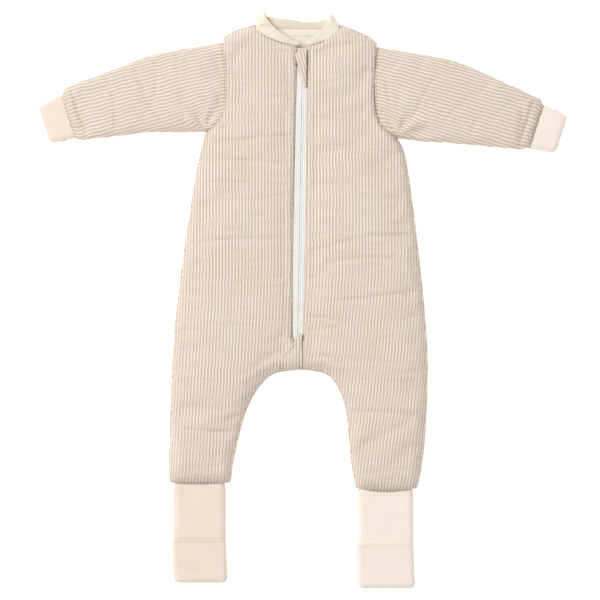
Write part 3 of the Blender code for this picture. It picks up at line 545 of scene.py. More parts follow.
cuff_knit = knit("peach_rib_knit", "F3E2D1", "EFDCCA", 1.3 * MM, 0.25 * MM)
pale_knit = knit("pale_rib_knit", "F9EDE1", "F7E9DC", 1.3 * MM, 0.25 * MM)
collar_knit = knit("cream_rib_knit", "F2EAD9", "EEE3CB", 1.3 * MM, 0.30 * MM)
jersey = knit("lining_jersey", "F3EEE4", "ECE6DA", 1.0 * MM, 0.12 * MM)
tape_twill = knit("neck_tape_twill", "F6F0E2", "EEE5D0", 1.0 * MM, 0.12 * MM)
zip_weave = knit("zip_tape_weave", "F3F3EE", "EBEBE5", 0.9 * MM, 0.12 * MM)
# the warp of the tape shows as grey lines
WARP_PITCH = 2.8 * MM
tree = zip_weave.node_tree
shader = next(n for n in tree.nodes if n.bl_idname == "ShaderNodeBsdfPrincipled")
plain = shader.inputs["Base Color"].links[0].from_socket
warp = texture(tree, "Wave", cloth_map(tree), {"Scale": WAVES_PER_METRE / WARP_PITCH},
               bands_direction="X")
line = add_node(tree, "ShaderNodeMapRange",
                {"From Min": 0.0, "From Max": 0.35, "To Min": 0.75, "To Max": 0.0},
                {"Value": warp.outputs["Fac"]})
lined = add_node(tree, "ShaderNodeMix", links={0: line.outputs["Result"], 6: plain},
                 data_type="RGBA")
lined.inputs[7].default_value = linear("CFCFCB")
tree.links.new(lined.outputs[2], shader.inputs["Base Color"])
print("materials:", [m.name for m in bpy.data.materials if m.use_nodes][-6:])

# %% [markdown]
# ## The padded body
#
# Each front, and the back, is one padded panel: muslin outside, wadding, jersey inside. Drawn
# as a height over its outline it gets what a sewn panel has: a rounded side towards each seam,
# a rolled edge at the zip and the armholes, and an end that is drawn in round the foot tube.

# %% Sizes of the padding
PADDING = 6.0 * MM          # shell, wadding and lining together
SIDE_ROUND = 19 * MM        # how far in from a seam the body reaches its height
HEM_ROUND = 24 * MM         # over which a leg is drawn in round its foot tube
HEM_SHARE = FOOT_TOP / BODY_TOP + 0.05   # of the height left at the hem
ZIP_ROLL, ARM_ROLL, NECK_ROLL = 5 * MM, 7 * MM, 9 * MM
ZIP_SINK = BODY_TOP - TAPE_TOP - 0.4 * MM
ARM_SINK, NECK_SINK = 4.5 * MM, 3.2 * MM
BODY_HALF = BODY_TOP - SEAM_Z
ZIP_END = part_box("zip_tape_left")[0].y
HEM_FLARE = 4.5 * MM        # the right leg's outer corner stands out
COARSE = 5.6 * MM           # distance between points before the subdivision
BODY_PRESSURE, BODY_SWELL = 4.0, 6 * MM


def name_run(kind, points):
    """What an edge of a body panel is, from where it lies."""
    x, y = points.mean(0)
    if kind == "seam":
        return "seam"
    if y < 0.5 * cad_low.y:
        return "hem"
    if abs(x) < 0.05 and y < 0.2:
        return "zip"
    return "neck" if y > 0.85 * cad_high.y else "armhole"


def measure_edges(points, runs):
    """Each point's distance to the nearest edge of each kind, and the way to the seam."""
    far = {word: np.full(len(points), 1.0) for word in ("seam", "hem", "zip", "neck", "armhole")}
    way = np.zeros((len(points), 2))
    for word, line in runs:
        fine = smooth_run(line, 6 * MM)
        distance = distance_to(points, fine)
        if word == "seam":
            nearer = distance < far["seam"]
            spots = fine[np.argmin(((points[:, None] - fine[None]) ** 2).sum(2), axis=1)]
            step = spots - points
            size = np.maximum(np.linalg.norm(step, axis=1), 1e-6)[:, None]
            way[nearer] = (step / size)[nearer]
        far[word] = np.minimum(far[word], distance)
    return far, way


def arc_extra(distance, reach, height):
    """How much longer the rounded side is than its plan, from reach out to each distance."""
    t = np.linspace(0, 1, 60)
    plan = reach * (1 - t)
    level = height * np.sqrt(np.clip(1 - (1 - plan / reach) ** 2, 0, 1))
    length = np.concatenate([[0], np.cumsum(np.hypot(np.diff(plan), np.diff(level)))])
    return np.interp(distance, plan[::-1], (length - reach * t)[::-1], right=0.0)


def leg_lean(x, y):
    """How far the stripes have moved sideways, as the legs' cloth lies a little twisted."""
    start = 0.06
    fall = np.clip(start - y, 0, None)
    bend = 0.12 * fall ** 2 / (fall + 0.12)
    return np.where(x > 0, 1.15, 0.6) * bend


def ridges(points, size_x, size_y, seed):
    """Long soft creases that mostly run sideways: 0 between them and 1 along each."""
    value = np.array([noise.noise(Vector((x / size_x, y / size_y, seed))) for x, y in points])
    return np.clip(1 - np.abs(value) * 7, 0, 1) ** 2


def slow_noise(points, size, seed):
    """Smooth unevenness, from -1 to 1."""
    return np.array([noise.noise(Vector((x / size, y / size, seed))) for x, y in points])


def above_zip_end(y):
    """1 beside the zip and 0 below it, where the two fronts are sewn together."""
    return ease(y - ZIP_END + 3 * MM, 6 * MM)


def wander(points, seed):
    """How far the puckered gauze carries its stripes sideways."""
    long, short = (np.array([noise.noise(Vector((x / wide, y / high, seed))) for x, y in points])
                   for wide, high in ((0.08, 0.020), (0.03, 0.009)))
    return 0.75 * MM * long + 0.4 * MM * short


def panel_heights(flat, far, up):
    """Height of the panel's outer face from its distances to the edges."""
    level = SEAM_Z + up * BODY_HALF * round_in(far["seam"], SIDE_ROUND)
    if up > 0:
        beside = above_zip_end(flat[:, 1])
        level = level - ZIP_SINK * (1 - round_in(far["zip"], ZIP_ROLL)) * beside
        level = level - 2.4 * MM * (1 - round_in(far["zip"], 3.5 * MM)) * (1 - beside)
        level = level - NECK_SINK * (1 - round_in(far["neck"], NECK_ROLL))
        level = level - ARM_SINK * (1 - round_in(far["armhole"], ARM_ROLL))
    level = level * (1 - (1 - HEM_SHARE) * (1 - round_in(far["hem"], HEM_ROUND)))
    return level


def relief(points, far, up, seed):
    """Creases and unevenness of the lying panel, none right at its edges."""
    flat = points[:, :2]
    held = ease(far["seam"], 26 * MM) * ease(far["zip"], 14 * MM)
    held = held * ease(far["hem"], 14 * MM) * ease(far["neck"], 16 * MM)
    wide = ridges(flat, 0.30, 0.040, seed)
    small = ridges(flat + 0.31, 0.12, 0.019, seed + 4)
    rise = 1.5 * MM * slow_noise(flat, 0.05, seed + 9) - 2.6 * MM * wide - 1.1 * MM * small
    # near the side seams the cloth is pulled into short tucks
    tucks = ridges(flat + 0.57, 0.045, 0.012, seed + 13) * np.exp(-far["seam"] / (22 * MM))
    rise = rise * held - 1.3 * MM * tucks * ease(far["seam"], 6 * MM)
    # the hem is gathered onto the foot tube, one small pleat for each stripe
    pleat = np.sin(2 * math.pi * flat[:, 0] / STRIPE_PITCH)
    rise = rise + 0.7 * MM * pleat * (1 - ease(far["hem"], 16 * MM))
    return up * rise


def body_panel(part, up, seed):
    """A padded panel of the body, in place of its CAD layers, and the runs of its outline."""
    found = split_runs(facing_loop(f"{part}_shell", up, SEAM_Z), SEAM_Z, BODY_HALF)
    runs = [(name_run(kind, line), line) for kind, line in found]
    flat, faces = fill(found, COARSE)
    far, _ = measure_edges(flat, runs)
    verts = np.column_stack([flat, panel_heights(flat, far, up)])
    panel = make_object(f"{part}_panel", verts, facing(flat, faces, up), [muslin, jersey])
    rim = np.min(list(far.values()), axis=0) < 0.5 * MM
    swell(panel, rim, BODY_PRESSURE, BODY_SWELL)
    subdivide(panel)
    points = coordinates(panel)
    far, way = measure_edges(points[:, :2], runs)
    points[:, 2] += relief(points, far, up, seed)
    if up > 0:
        # the neck edge lies under the collar band
        points[:, 1] -= 0.6 * MM * (1 - ease(far["neck"], 12 * MM))
        # below the zip the fronts meet in a seam
        closing = (1 - ease(far["zip"], 5 * MM)) * (1 - above_zip_end(points[:, 1]))
        points[:, 0] += -np.sign(points[:, 0].mean()) * 0.35 * MM * closing
    points[:, 0] -= HEM_FLARE * (1 - ease(far["hem"], 70 * MM)) * ease(
        -points[:, 0] - 0.12, 0.06)
    if up < 0:
        points[:, 2] = np.maximum(points[:, 2], 0.3 * MM)
    set_coordinates(panel, points)
    extra = arc_extra(far["seam"], SIDE_ROUND, BODY_HALF)
    across = points[:, 0] + leg_lean(points[:, 0], points[:, 1]) + way[:, 0] * extra
    across = across + wander(points[:, :2], seed)
    along = points[:, 1] + way[:, 1] * extra
    set_uv(panel, np.column_stack([across, along]))
    share = 0.12 + 0.88 * ease(far["zip"], 14 * MM) * ease(far["hem"], 16 * MM)
    share = share * (0.35 + 0.65 * ease(far["neck"], 12 * MM))
    share = share * (0.08 + 0.92 * ease(far["seam"], 18 * MM))
    thicken(panel, PADDING, share)
    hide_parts(*[f"{part}_{layer}" for layer in LAYERS])
    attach(panel, "body")
    print(panel.name, len(panel.data.polygons), "faces")
    return panel, runs


# %% Make the three panels of the body
fronts = {word: body_panel(f"front_{word}", 1, seed)
          for word, seed in (("left", 3.7), ("right", 8.1))}
body_panel("back", -1, 5.3)

# %% [markdown]
# ## Tubes: sleeves, cuffs and feet
#
# A sleeve lying flat is a tube with two faces that meet along its upper fold and its underarm
# seam. Both faces share one outline, so the tube is filled once and mirrored about the height
# of its seams. Its two ends stay open.


# %% Build a flattened tube
def flat_tube(name, node, spacing, materials, profile, finish):
    """An open tube over the CAD tube's outline; profile shapes it and finish refines it."""
    low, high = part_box(node)
    middle = (low.z + high.z) / 2
    half = high.z - middle
    found = split_runs(facing_loop(node, 1, middle), middle, half)
    flat, faces = fill(found, spacing)
    seams = [line for kind, line in found if kind == "seam"]
    ends = [line for kind, line in found if kind == "open"]
    height = profile(flat, seams, ends, half)
    tube = two_faced(name, flat, faces, nearest(flat, seams, spacing) < 1e-5, middle + height,
                     middle - height, materials)
    finish(tube, seams, ends, middle, half)
    return tube


SLEEVE_ROUND = 17 * MM      # width of a sleeve's rounded side
WRIST_DROP = 4.7 * MM       # from the sleeve's own middle down to its cuff's
SLEEVE_PRESSURE, SLEEVE_SWELL = 3.0, 3.5 * MM
SLEEVE_PADDING = 5.2 * MM   # a little thinner than the body's
STRIPE_LEAN = math.radians(3)
LINE = 5 * MM               # spacing of the points on a smoothed edge


def sleeve_profile(flat, seams, ends, half):
    """A sleeve's height above its seams: rounded sides, drawn in at the wrist."""
    ends = sorted(ends, key=lambda line: abs(line.mean(0)[0]))
    from_seam = nearest(flat, seams, LINE)
    from_wrist = distance_to(flat, ends[-1])
    height = half * round_in(from_seam, SLEEVE_ROUND)
    return height * (1 - 0.37 * (1 - round_in(from_wrist, 14 * MM)))


def sleeve_ways(armhole, wrist):
    """The sleeve's root, and the directions along and across its stripes."""
    root, tip = (armhole[0] + armhole[-1]) / 2, (wrist[0] + wrist[-1]) / 2
    way = (tip - root) / np.linalg.norm(tip - root)
    lean = -math.copysign(STRIPE_LEAN, tip[0])
    way = np.array([way[0] * math.cos(lean) - way[1] * math.sin(lean),
                    way[0] * math.sin(lean) + way[1] * math.cos(lean)])
    return root, tip, way, np.array([-way[1], way[0]])


def underarm_fan(flat, armhole):
    """Creases that fan out from the underarm."""
    low_end = armhole[np.argmin(armhole[:, 1])]
    reach = np.linalg.norm(flat - low_end, axis=1)
    angle = np.arctan2(flat[:, 1] - low_end[1], np.abs(flat[:, 0] - low_end[0]))
    swirl = angle * 8 + reach / (16 * MM)
    return np.sin(swirl) * np.exp(-reach / (38 * MM)) * ease(reach, 24 * MM)


def finish_sleeve(tube, seams, ends, middle, half):
    """Swell, crease and gather the sleeve, and lay the stripes along it."""
    ends = sorted(ends, key=lambda line: abs(line.mean(0)[0]))
    armhole, wrist = ends[0], ends[-1]
    points = coordinates(tube)
    swell(tube, nearest(points[:, :2], (armhole, wrist), LINE) < 0.5 * MM, SLEEVE_PRESSURE,
          SLEEVE_SWELL)
    subdivide(tube)
    points = coordinates(tube)
    flat = points[:, :2]
    root, tip, way, across_way = sleeve_ways(armhole, wrist)
    across, along = (flat - root) @ across_way, (flat - root) @ way
    from_seam = nearest(flat, seams, LINE)
    from_wrist = distance_to(flat, wrist)
    from_armhole = nearest(flat, [armhole], LINE)
    side = np.sign(points[:, 2] - middle)
    held = ease(from_seam, 18 * MM)
    seed = 2.0 if tip[0] > 0 else 6.0
    crosswise = ridges(np.column_stack([across, along]), 0.11, 0.05, seed)
    rise = 1.2 * MM * slow_noise(flat, 0.04, seed) - 1.4 * MM * crosswise * held
    # the cloth is gathered into the cuff: pleats that die out, and a fold beside the band
    pleat = np.sin(2 * math.pi * across / STRIPE_PITCH + 2 * slow_noise(flat, 0.02, seed))
    rise = rise + 1.2 * MM * pleat * (1 - ease(from_wrist, 26 * MM)) * held
    rise = rise - 3.4 * MM * np.exp(-((from_wrist - 16 * MM) / (2.4 * MM)) ** 2) * held
    fan = underarm_fan(flat, armhole)
    rise = rise + 4.2 * MM * fan * held
    points[:, 2] += side * rise * ease(from_armhole, 8 * MM)
    # wadding pushed down the sleeve widens it just above the cuff
    wide = 4.2 * MM * ease(from_wrist, 9 * MM) * (0.35 + 0.65 * np.exp(-from_wrist / (60 * MM)))
    wide = wide * ease(from_armhole, 60 * MM) + 1.0 * MM
    spread = np.clip((across - across.mean()) / (36 * MM), -1, 1)
    points[:, :2] += (wide * spread)[:, None] * across_way
    # the wrist hangs down to the height of its cuff
    points[:, 2] -= WRIST_DROP * (1 - ease(from_wrist, 34 * MM))
    # the upper face runs on a little under the body's edge
    tuck = (1 - ease(from_armhole, 7 * MM)) * (side > 0)
    points[:, 0] -= np.sign(tip[0]) * 4.5 * MM * tuck
    points[:, 2] = np.maximum(points[:, 2], 0.3 * MM)
    set_coordinates(tube, points)
    extra = arc_extra(from_seam, SLEEVE_ROUND, half)
    drawn = 2.6 * MM * fan + wander(np.column_stack([across, along]), seed)
    set_uv(tube, np.column_stack([across + np.sign(across) * extra + drawn, along]))
    share = 0.25 + 0.75 * ease(from_wrist, 14 * MM)
    share = share * (0.08 + 0.92 * ease(from_seam, 17 * MM))
    share = share * (0.6 + 0.4 * ease(from_armhole, 8 * MM))
    thicken(tube, SLEEVE_PADDING, share)


sleeves, sleeve_wrists, sleeve_bends = {}, {}, {}
for word in ("left", "right"):
    sleeve = flat_tube(f"sleeve_{word}_padded", f"sleeve_{word}_shell", 5 * MM,
                       [muslin, jersey], sleeve_profile, finish_sleeve)
    joint = next(j for j in frame["joints"] if j["name"] == f"sleeve_{word}_raise")
    pivot, axis = Vector(joint["pos_m"]), Vector(joint["axis"]).normalized()
    outward = axis.cross(Vector((0, 0, 1)))
    outward = outward * (1 if outward.x * (1 if word == "left" else -1) > 0 else -1)
    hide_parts(*[f"sleeve_{word}_{layer}" for layer in LAYERS])
    sleeve_bends[word] = (tuple(pivot - outward * 0.002), tuple(pivot + outward * 0.060))
    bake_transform(sleeve)
    sleeves[word] = sleeve
    # where the cuff's inner end lies, for the seam beside it
    low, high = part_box(f"wrist_cuff_{word}")
    middle = (low.z + high.z) / 2
    cuff_runs = split_runs(facing_loop(f"wrist_cuff_{word}", 1, middle), middle, high.z / 2)
    ends = [line for kind, line in cuff_runs if kind == "open"]
    inner = min(ends, key=lambda line: abs(line.mean(0)[0]))
    sleeve_wrists[word] = (inner[0], inner[-1])
    print(sleeve.name, len(sleeve.data.polygons), "faces")

# %% [markdown]
# ## Rib cuffs and foot tubes
#
# The cuffs are short tubes of rib knit. Each starts a little inside the sleeve or leg that is
# gathered onto it, and ends in a folded edge, so its corners are rounded.

# %% Make the cuffs and feet
KNIT = 1.5 * MM
KNIT_SIDE = 9 * MM          # width of the rounded side of a flat knitted tube
KNIT_TUCK = 7 * MM          # hidden inside the sleeve or leg


CHEST = np.array([0, 0.1])


def from_chest(line):
    """How far an end lies from the chest, so that inner ends sort first."""
    return np.linalg.norm(line.mean(0) - CHEST)


def knit_tube(name, node, material, end_reach, end_drop, corners, shorter, wider):
    """A flat tube of rib knit; corners holds the radii of its lower and upper end corner."""

    def profile(flat, seams, ends, half):
        ends = sorted(ends, key=from_chest)
        from_seam = nearest(flat, seams)
        from_end = distance_to(flat, ends[-1])
        height = half * round_in(from_seam, KNIT_SIDE)
        return height * (1 - end_drop * (1 - round_in(from_end, end_reach)))

    def finish(tube, seams, ends, middle, half):
        ends = sorted(ends, key=from_chest)
        subdivide(tube)
        points = coordinates(tube)
        flat = points[:, :2]
        root, tip = ends[0].mean(0), ends[-1].mean(0)
        way = (tip - root) / np.linalg.norm(tip - root)
        across = (flat - root) @ np.array([-way[1], way[0]])
        along = (flat - root) @ way
        from_seam = nearest(flat, seams)
        from_end = distance_to(flat, ends[-1])
        from_root = nearest(flat, ends[:1], 4 * MM)
        side = np.sign(points[:, 2] - middle)
        seams.sort(key=lambda line: line.mean(0)[1] + line.mean(0)[0])
        back_off = shorter
        for seam, corner in zip(seams, corners):
            inner = np.clip(corner - distance_to(flat, seam), 0, corner)
            back_off = back_off + corner - np.sqrt(corner ** 2 - inner ** 2)
        back_off = back_off * (1 - ease(from_end, 20 * MM))
        tuck = KNIT_TUCK * (1 - ease(from_root, KNIT_TUCK))
        points[:, :2] -= (back_off + tuck)[:, None] * way
        pinch = 1 - 0.16 * (1 - ease(from_root, 9 * MM))
        points[:, 2] = middle + (points[:, 2] - middle) * pinch
        spread = across * (wider - 0.07 * (1 - ease(from_root, 9 * MM)))
        points[:, :2] += spread[:, None] * np.array([-way[1], way[0]])
        swing = 0.55 * MM * slow_noise(flat, 0.022, 4.4)
        # the seam that joins the cuff pulls short pleats into its first centimetre
        pleat = np.sin(2 * math.pi * across / (5.5 * MM)) * np.exp(-from_root / (9 * MM))
        points[:, 2] += side * (swing + 0.5 * MM * pleat) * ease(from_seam, 8 * MM)
        points[:, 2] = np.maximum(points[:, 2], 0.2 * MM)
        set_coordinates(tube, points)
        extra = arc_extra(from_seam, KNIT_SIDE, half)
        set_uv(tube, np.column_stack([across + np.sign(across) * extra, along]))
        thicken(tube, KNIT, np.ones(len(points)), 0)

    tube = flat_tube(name, node, 4 * MM, [material], profile, finish)
    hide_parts(node)
    return tube


# the left side's rib is coloured a little paler than the right side's
for word, ribbed_cloth in (("left", pale_knit), ("right", cuff_knit)):
    cuff = knit_tube(f"wrist_cuff_{word}_knit", f"wrist_cuff_{word}", ribbed_cloth, 8 * MM,
                     0.45, (9 * MM, 2 * MM), 0.5 * MM if word == "left" else -2.5 * MM, 0.05)
    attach(cuff, f"sleeve_{word}")
    foot = knit_tube(f"foot_cuff_{word}_knit", f"foot_cuff_{word}", ribbed_cloth, 9 * MM,
                     0.85, (9 * MM, 9 * MM), 2.2 * MM, 0.01)
    low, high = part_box(f"foot_cuff_{word}")
    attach(foot, "body")
    print(cuff.name, len(cuff.data.polygons), foot.name, len(foot.data.polygons))

# %% [markdown]
# ## Fold-over feet
#
# The end of each foot tube is covered by a flap of the same rib, joined at the toe and down
# the sides, with a turned hem across its free edge.


# %% Make the foot flaps
def ordered(runs):
    """The runs in the order in which they follow each other round the outline."""
    chain = [runs[0]]
    rest = runs[1:]
    while rest:
        tail = chain[-1][-1]
        rest.sort(key=lambda line: np.linalg.norm(line[0] - tail))
        chain.append(rest.pop(0))
    return chain


def foot_flap(word, material, seed):
    """The flap over the end of one foot."""
    node = f"foot_flap_{word}"
    low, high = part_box(node)
    middle = (low.z + high.z) / 2
    runs = [line for kind, line in split_runs(facing_loop(node, 1, middle), middle,
                                              high.z - middle)]
    runs.sort(key=lambda line: line.mean(0)[1])
    toe, sides, top = runs[0], runs[1:-1], runs[-1]
    flat, faces = fill([("open", line) for line in ordered(runs)], 3.2 * MM)
    flap = make_object(f"foot_flap_{word}_knit", np.column_stack([flat, 0 * flat[:, 0]]),
                       facing(flat, faces), [material])
    subdivide(flap)
    points = coordinates(flap)
    flat = points[:, :2].copy()
    from_side = nearest(flat, sides)
    from_toe, from_top = distance_to(flat, toe), distance_to(flat, top)
    height = round_in(from_side, 8 * MM) * round_in(from_toe, 9 * MM)
    points[:, 2] = low.z + 0.6 * MM + (high.z - low.z - 0.6 * MM) * height
    points[:, 2] += 1.0 * MM * (1 - ease(from_top, 7 * MM))
    points[:, 2] -= 0.6 * MM * np.exp(-((from_top - 4.5 * MM) / (0.8 * MM)) ** 2)
    rise = slow_noise(flat, 0.024, seed)
    points[:, 2] += 0.6 * MM * (rise - 0.6) * ease(from_side, 8 * MM) * ease(from_toe, 9 * MM)
    corner = 8 * MM
    inner = np.clip(corner - from_side, 0, corner)
    back_off = corner - np.sqrt(corner ** 2 - inner ** 2)
    points[:, 1] += back_off * (1 - ease(from_toe, 2.2 * corner))
    wave = np.array([noise.noise(Vector((x / 0.018, seed, 0.5))) for x in flat[:, 0]])
    points[:, 1] += (1.6 * MM * wave - 0.8 * MM) * (1 - ease(from_top, 16 * MM))
    set_coordinates(flap, points)
    set_uv(flap, flat)
    thicken(flap, 1.1 * MM, np.ones(len(points)), 0)
    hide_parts(node)
    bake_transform(flap)
    print(flap.name, len(flap.data.polygons), "faces")


foot_flap("left", pale_knit, 1.3)
foot_flap("right", cuff_knit, 7.9)

# %% [markdown]
# ## Pieces close to their solids
#
# Collar, tapes, stops and slider are already the right shape in the frame. Their solids are
# copied, their edges rounded, and each gets a UV map in metres for its weave.


# %% Copy a solid
def copy_solid(name, node, material, merge):
    """A copy of a CAD solid with shared corners and, if asked, with its flat faces merged."""
    source = frame["nodes"][node]
    mesh = source.data.copy()
    mesh.transform(source.matrix_world)
    mesh.materials.clear()
    mesh.materials.append(material)
    bm = bmesh.new()
    bm.from_mesh(mesh)
    bmesh.ops.remove_doubles(bm, verts=bm.verts, dist=WELD)
    if merge:
        bmesh.ops.dissolve_limit(bm, angle_limit=0.01, verts=bm.verts, edges=bm.edges)
    for face in bm.faces:
        face.smooth, face.material_index = True, 0
    bm.to_mesh(mesh)
    bm.free()
    return new_object(name, mesh)


def soften(thing, bevel, angle, finer, kind):
    """Round the edges sharper than an angle in degrees, then make the mesh finer."""
    edge = thing.modifiers.new("edge", "BEVEL")
    edge.width, edge.segments = bevel, 2
    edge.limit_method, edge.angle_limit = "ANGLE", math.radians(angle)
    if finer:
        soft = thing.modifiers.new("finer", "SUBSURF")
        soft.levels = soft.render_levels = finer
        soft.subdivision_type = kind


def from_cad(name, node, material, bevel, body, finer=0):
    """A copy of a CAD solid with rounded edges and a UV map laid from above."""
    thing = copy_solid(name, node, material, merge=True)
    soften(thing, bevel, 35, finer, "SIMPLE")
    bake_modifiers(thing)
    set_uv(thing, coordinates(thing)[:, :2])
    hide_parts(node)
    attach(thing, body)
    return thing


# %% Collar and neck tape
NECK_CENTRE_Y = 0.402
collar = copy_solid("collar_knit", "collar", collar_knit, merge=False)
soften(collar, 0.9 * MM, 40, 2, "CATMULL_CLARK")
relaxed = collar.modifiers.new("relaxed", "SMOOTH")
relaxed.factor, relaxed.iterations = 0.5, 22
fuller = collar.modifiers.new("fuller", "DISPLACE")
fuller.strength, fuller.mid_level = 1.3 * MM, 0.0
bake_modifiers(collar)
low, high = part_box("collar")
neck = np.array([(low.x + high.x) / 2, NECK_CENTRE_Y])
points = coordinates(collar)
angle = np.arctan2(points[:, 1] - neck[1], points[:, 0] - neck[0])
radius = np.linalg.norm(points[:, :2] - neck, axis=1)
points[:, 2] += 0.4 * MM * np.sin(angle * 23) * ease(points[:, 2] - low.z, 8 * MM)
# the band's outer edge lies on the fronts, and its shoulders stand a little higher
front = ease(neck[1] + 8 * MM - points[:, 1], 14 * MM) * ease(points[:, 2] - 20 * MM, 8 * MM)
outer = 2.4 * MM * front * (radius > np.median(radius))
points[:, :2] += outer[:, None] * np.column_stack([np.cos(angle), np.sin(angle)])
shoulder = ease(np.abs(points[:, 0] - neck[0]) - 20 * MM, 12 * MM) * ease(
    points[:, 1] - neck[1], 12 * MM)
points[:, 1] -= 3.0 * MM * shoulder * (points[:, 0] > neck[0])
# at the back the band's upper edge sags a little to one side
sag = np.exp(-((points[:, 0] - neck[0] - 16 * MM) / (15 * MM)) ** 2)
points[:, 1] -= 4.5 * MM * sag * ease(points[:, 1] - high.y + 22 * MM, 16 * MM)
points[:, 2] = np.clip(points[:, 2], low.z, high.z + 2.4 * MM)
set_coordinates(collar, points)
set_uv(collar, np.column_stack([angle * 0.042, radius + points[:, 2]]))
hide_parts("collar")
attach(collar, "body")
print("collar", len(collar.data.polygons), "faces")

neck_tape = from_cad("neck_tape_woven", "neck_tape", tape_twill, 0.2 * MM,
                     "body", 2)
points = coordinates(neck_tape)
points[:, 2] -= 1.5 * MM
points[:, 1] += 0.8 * MM * (points[:, 1] > points[:, 1].mean())
set_coordinates(neck_tape, points)

# %% [markdown]
# ## The zip
#
# A fine coil zip lies between the two fronts: two woven tapes, a nylon coil along each tape's
# inner edge, and a small painted slider. The coil is one wire wound in loops. One loop is
# modelled and Geometry Nodes repeats it along the tape's edge.


# %% Repeat a piece along a line
def repeat_tree():
    """A node tree that sets a piece along a line, evenly and turned to follow it."""
    tree = bpy.data.node_groups.new("repeat_along_line", "GeometryNodeTree")
    for word, kind in (("Line", "NodeSocketGeometry"), ("Piece", "NodeSocketObject"),
                       ("Pitch", "NodeSocketFloat"), ("Material", "NodeSocketMaterial")):
        tree.interface.new_socket(word, in_out="INPUT", socket_type=kind)
    tree.interface.new_socket("Pieces", in_out="OUTPUT", socket_type="NodeSocketGeometry")
    given = add_node(tree, "NodeGroupInput")
    curve = add_node(tree, "GeometryNodeMeshToCurve", links={"Mesh": given.outputs["Line"]})
    points = add_node(tree, "GeometryNodeResampleCurve",
                      links={"Curve": curve.outputs["Curve"], "Length": given.outputs["Pitch"]},
                      mode="LENGTH")
    piece = add_node(tree, "GeometryNodeObjectInfo", links={"Object": given.outputs["Piece"]})
    tangent = add_node(tree, "GeometryNodeInputTangent")
    turn = add_node(tree, "FunctionNodeAlignRotationToVector",
                    links={"Vector": tangent.outputs["Tangent"]}, axis="X")
    placed = add_node(tree, "GeometryNodeInstanceOnPoints",
                      links={"Points": points.outputs["Curve"],
                             "Instance": piece.outputs["Geometry"],
                             "Rotation": turn.outputs["Rotation"]})
    real = add_node(tree, "GeometryNodeRealizeInstances",
                    links={"Geometry": placed.outputs["Instances"]})
    coloured = add_node(tree, "GeometryNodeSetMaterial",
                        links={"Geometry": real.outputs["Geometry"],
                               "Material": given.outputs["Material"]})
    add_node(tree, "NodeGroupOutput", links={0: coloured.outputs["Geometry"]})
    return tree


REPEAT = repeat_tree()


def along_line(name, line, piece, pitch, material):
    """One plain mesh: the piece repeated along the line."""
    points = [tuple(p) for p in line]
    mesh = bpy.data.meshes.new(name)
    mesh.from_pydata(points, [(i, i + 1) for i in range(len(points) - 1)], [])
    thing = new_object(name, mesh)
    repeat = thing.modifiers.new("repeat", "NODES")
    repeat.node_group = REPEAT
    names = {item.name: item.identifier for item in REPEAT.interface.items_tree
             if item.in_out == "INPUT"}
    repeat[names["Piece"]] = piece
    repeat[names["Pitch"]] = pitch
    repeat[names["Material"]] = material
    thing.update_tag()
    bpy.context.view_layer.update()
    bake_modifiers(thing)
    thing.data.shade_smooth()
    return thing


def wire(name, points, radius, rounds=2, closed=False):
    """A round wire through the points, as a mesh."""
    curve = bpy.data.curves.new(name, "CURVE")
    curve.dimensions = "3D"
    curve.bevel_depth = radius
    curve.bevel_resolution = rounds
    curve.use_fill_caps = True
    path = curve.splines.new("POLY")
    path.points.add(len(points) - 1)
    for spot, point in zip(path.points, points):
        spot.co = (*point, 1.0)
    path.use_cyclic_u = closed
    made = new_object(name, curve)
    mesh = evaluated_mesh(made)
    bpy.data.objects.remove(made)
    return new_object(name, mesh)


# %% Materials of the zip
nylon = plain_material("nylon_coil", 0.45, "DCDCD4", {"IOR": 1.53})
thread = plain_material("cotton_thread", 0.8, "EFE3D0", sheen=0.1)
# amber thread: the rows beside the cuffs, along the armholes and on the guard's edges use its dark
# colour to paint the shadow lines there
amber_shadow_thread = plain_material("amber_gather_thread", 0.8, "B4835A", sheen=0.1)
dark_thread = plain_material("dark_bar_tack_thread", 0.8, "5C4A3A")
# yellow thread for the neck and hem seams; along the foot flaps' free edges its colour paints the
# warm shadow under each edge
seam_and_shadow_thread = plain_material("yellow_seam_thread", 0.8, "DDBB7E", sheen=0.1)
paint = plain_material("painted_zinc", 0.38, "D9D2C4", {"Coat Weight": 0.3})
dark_steel = plain_material("stop_metal", 0.45, "7A6350", metallic=0.6)

# %% Tapes, underlap and stops
left_low, left_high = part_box("zip_tape_left")


def tape_edge(word, top, far):
    """The x of one corner of a tape's solid."""
    solid = frame["nodes"][f"zip_tape_{word}"]
    spots = np.array([solid.matrix_world @ v.co for v in solid.data.vertices])
    level = left_high.y if top else left_low.y
    row = spots[np.abs(spots[:, 1] - level) < 1 * MM][:, 0]
    return row.max() if (word == "left") == far else row.min()


zip_top = (tape_edge("left", True, False) + tape_edge("right", True, False)) / 2
zip_low = (tape_edge("left", False, False) + tape_edge("right", False, False)) / 2
COIL_BULGE, TAPE_CLOTH = 0.55 * MM, 0.6 * MM


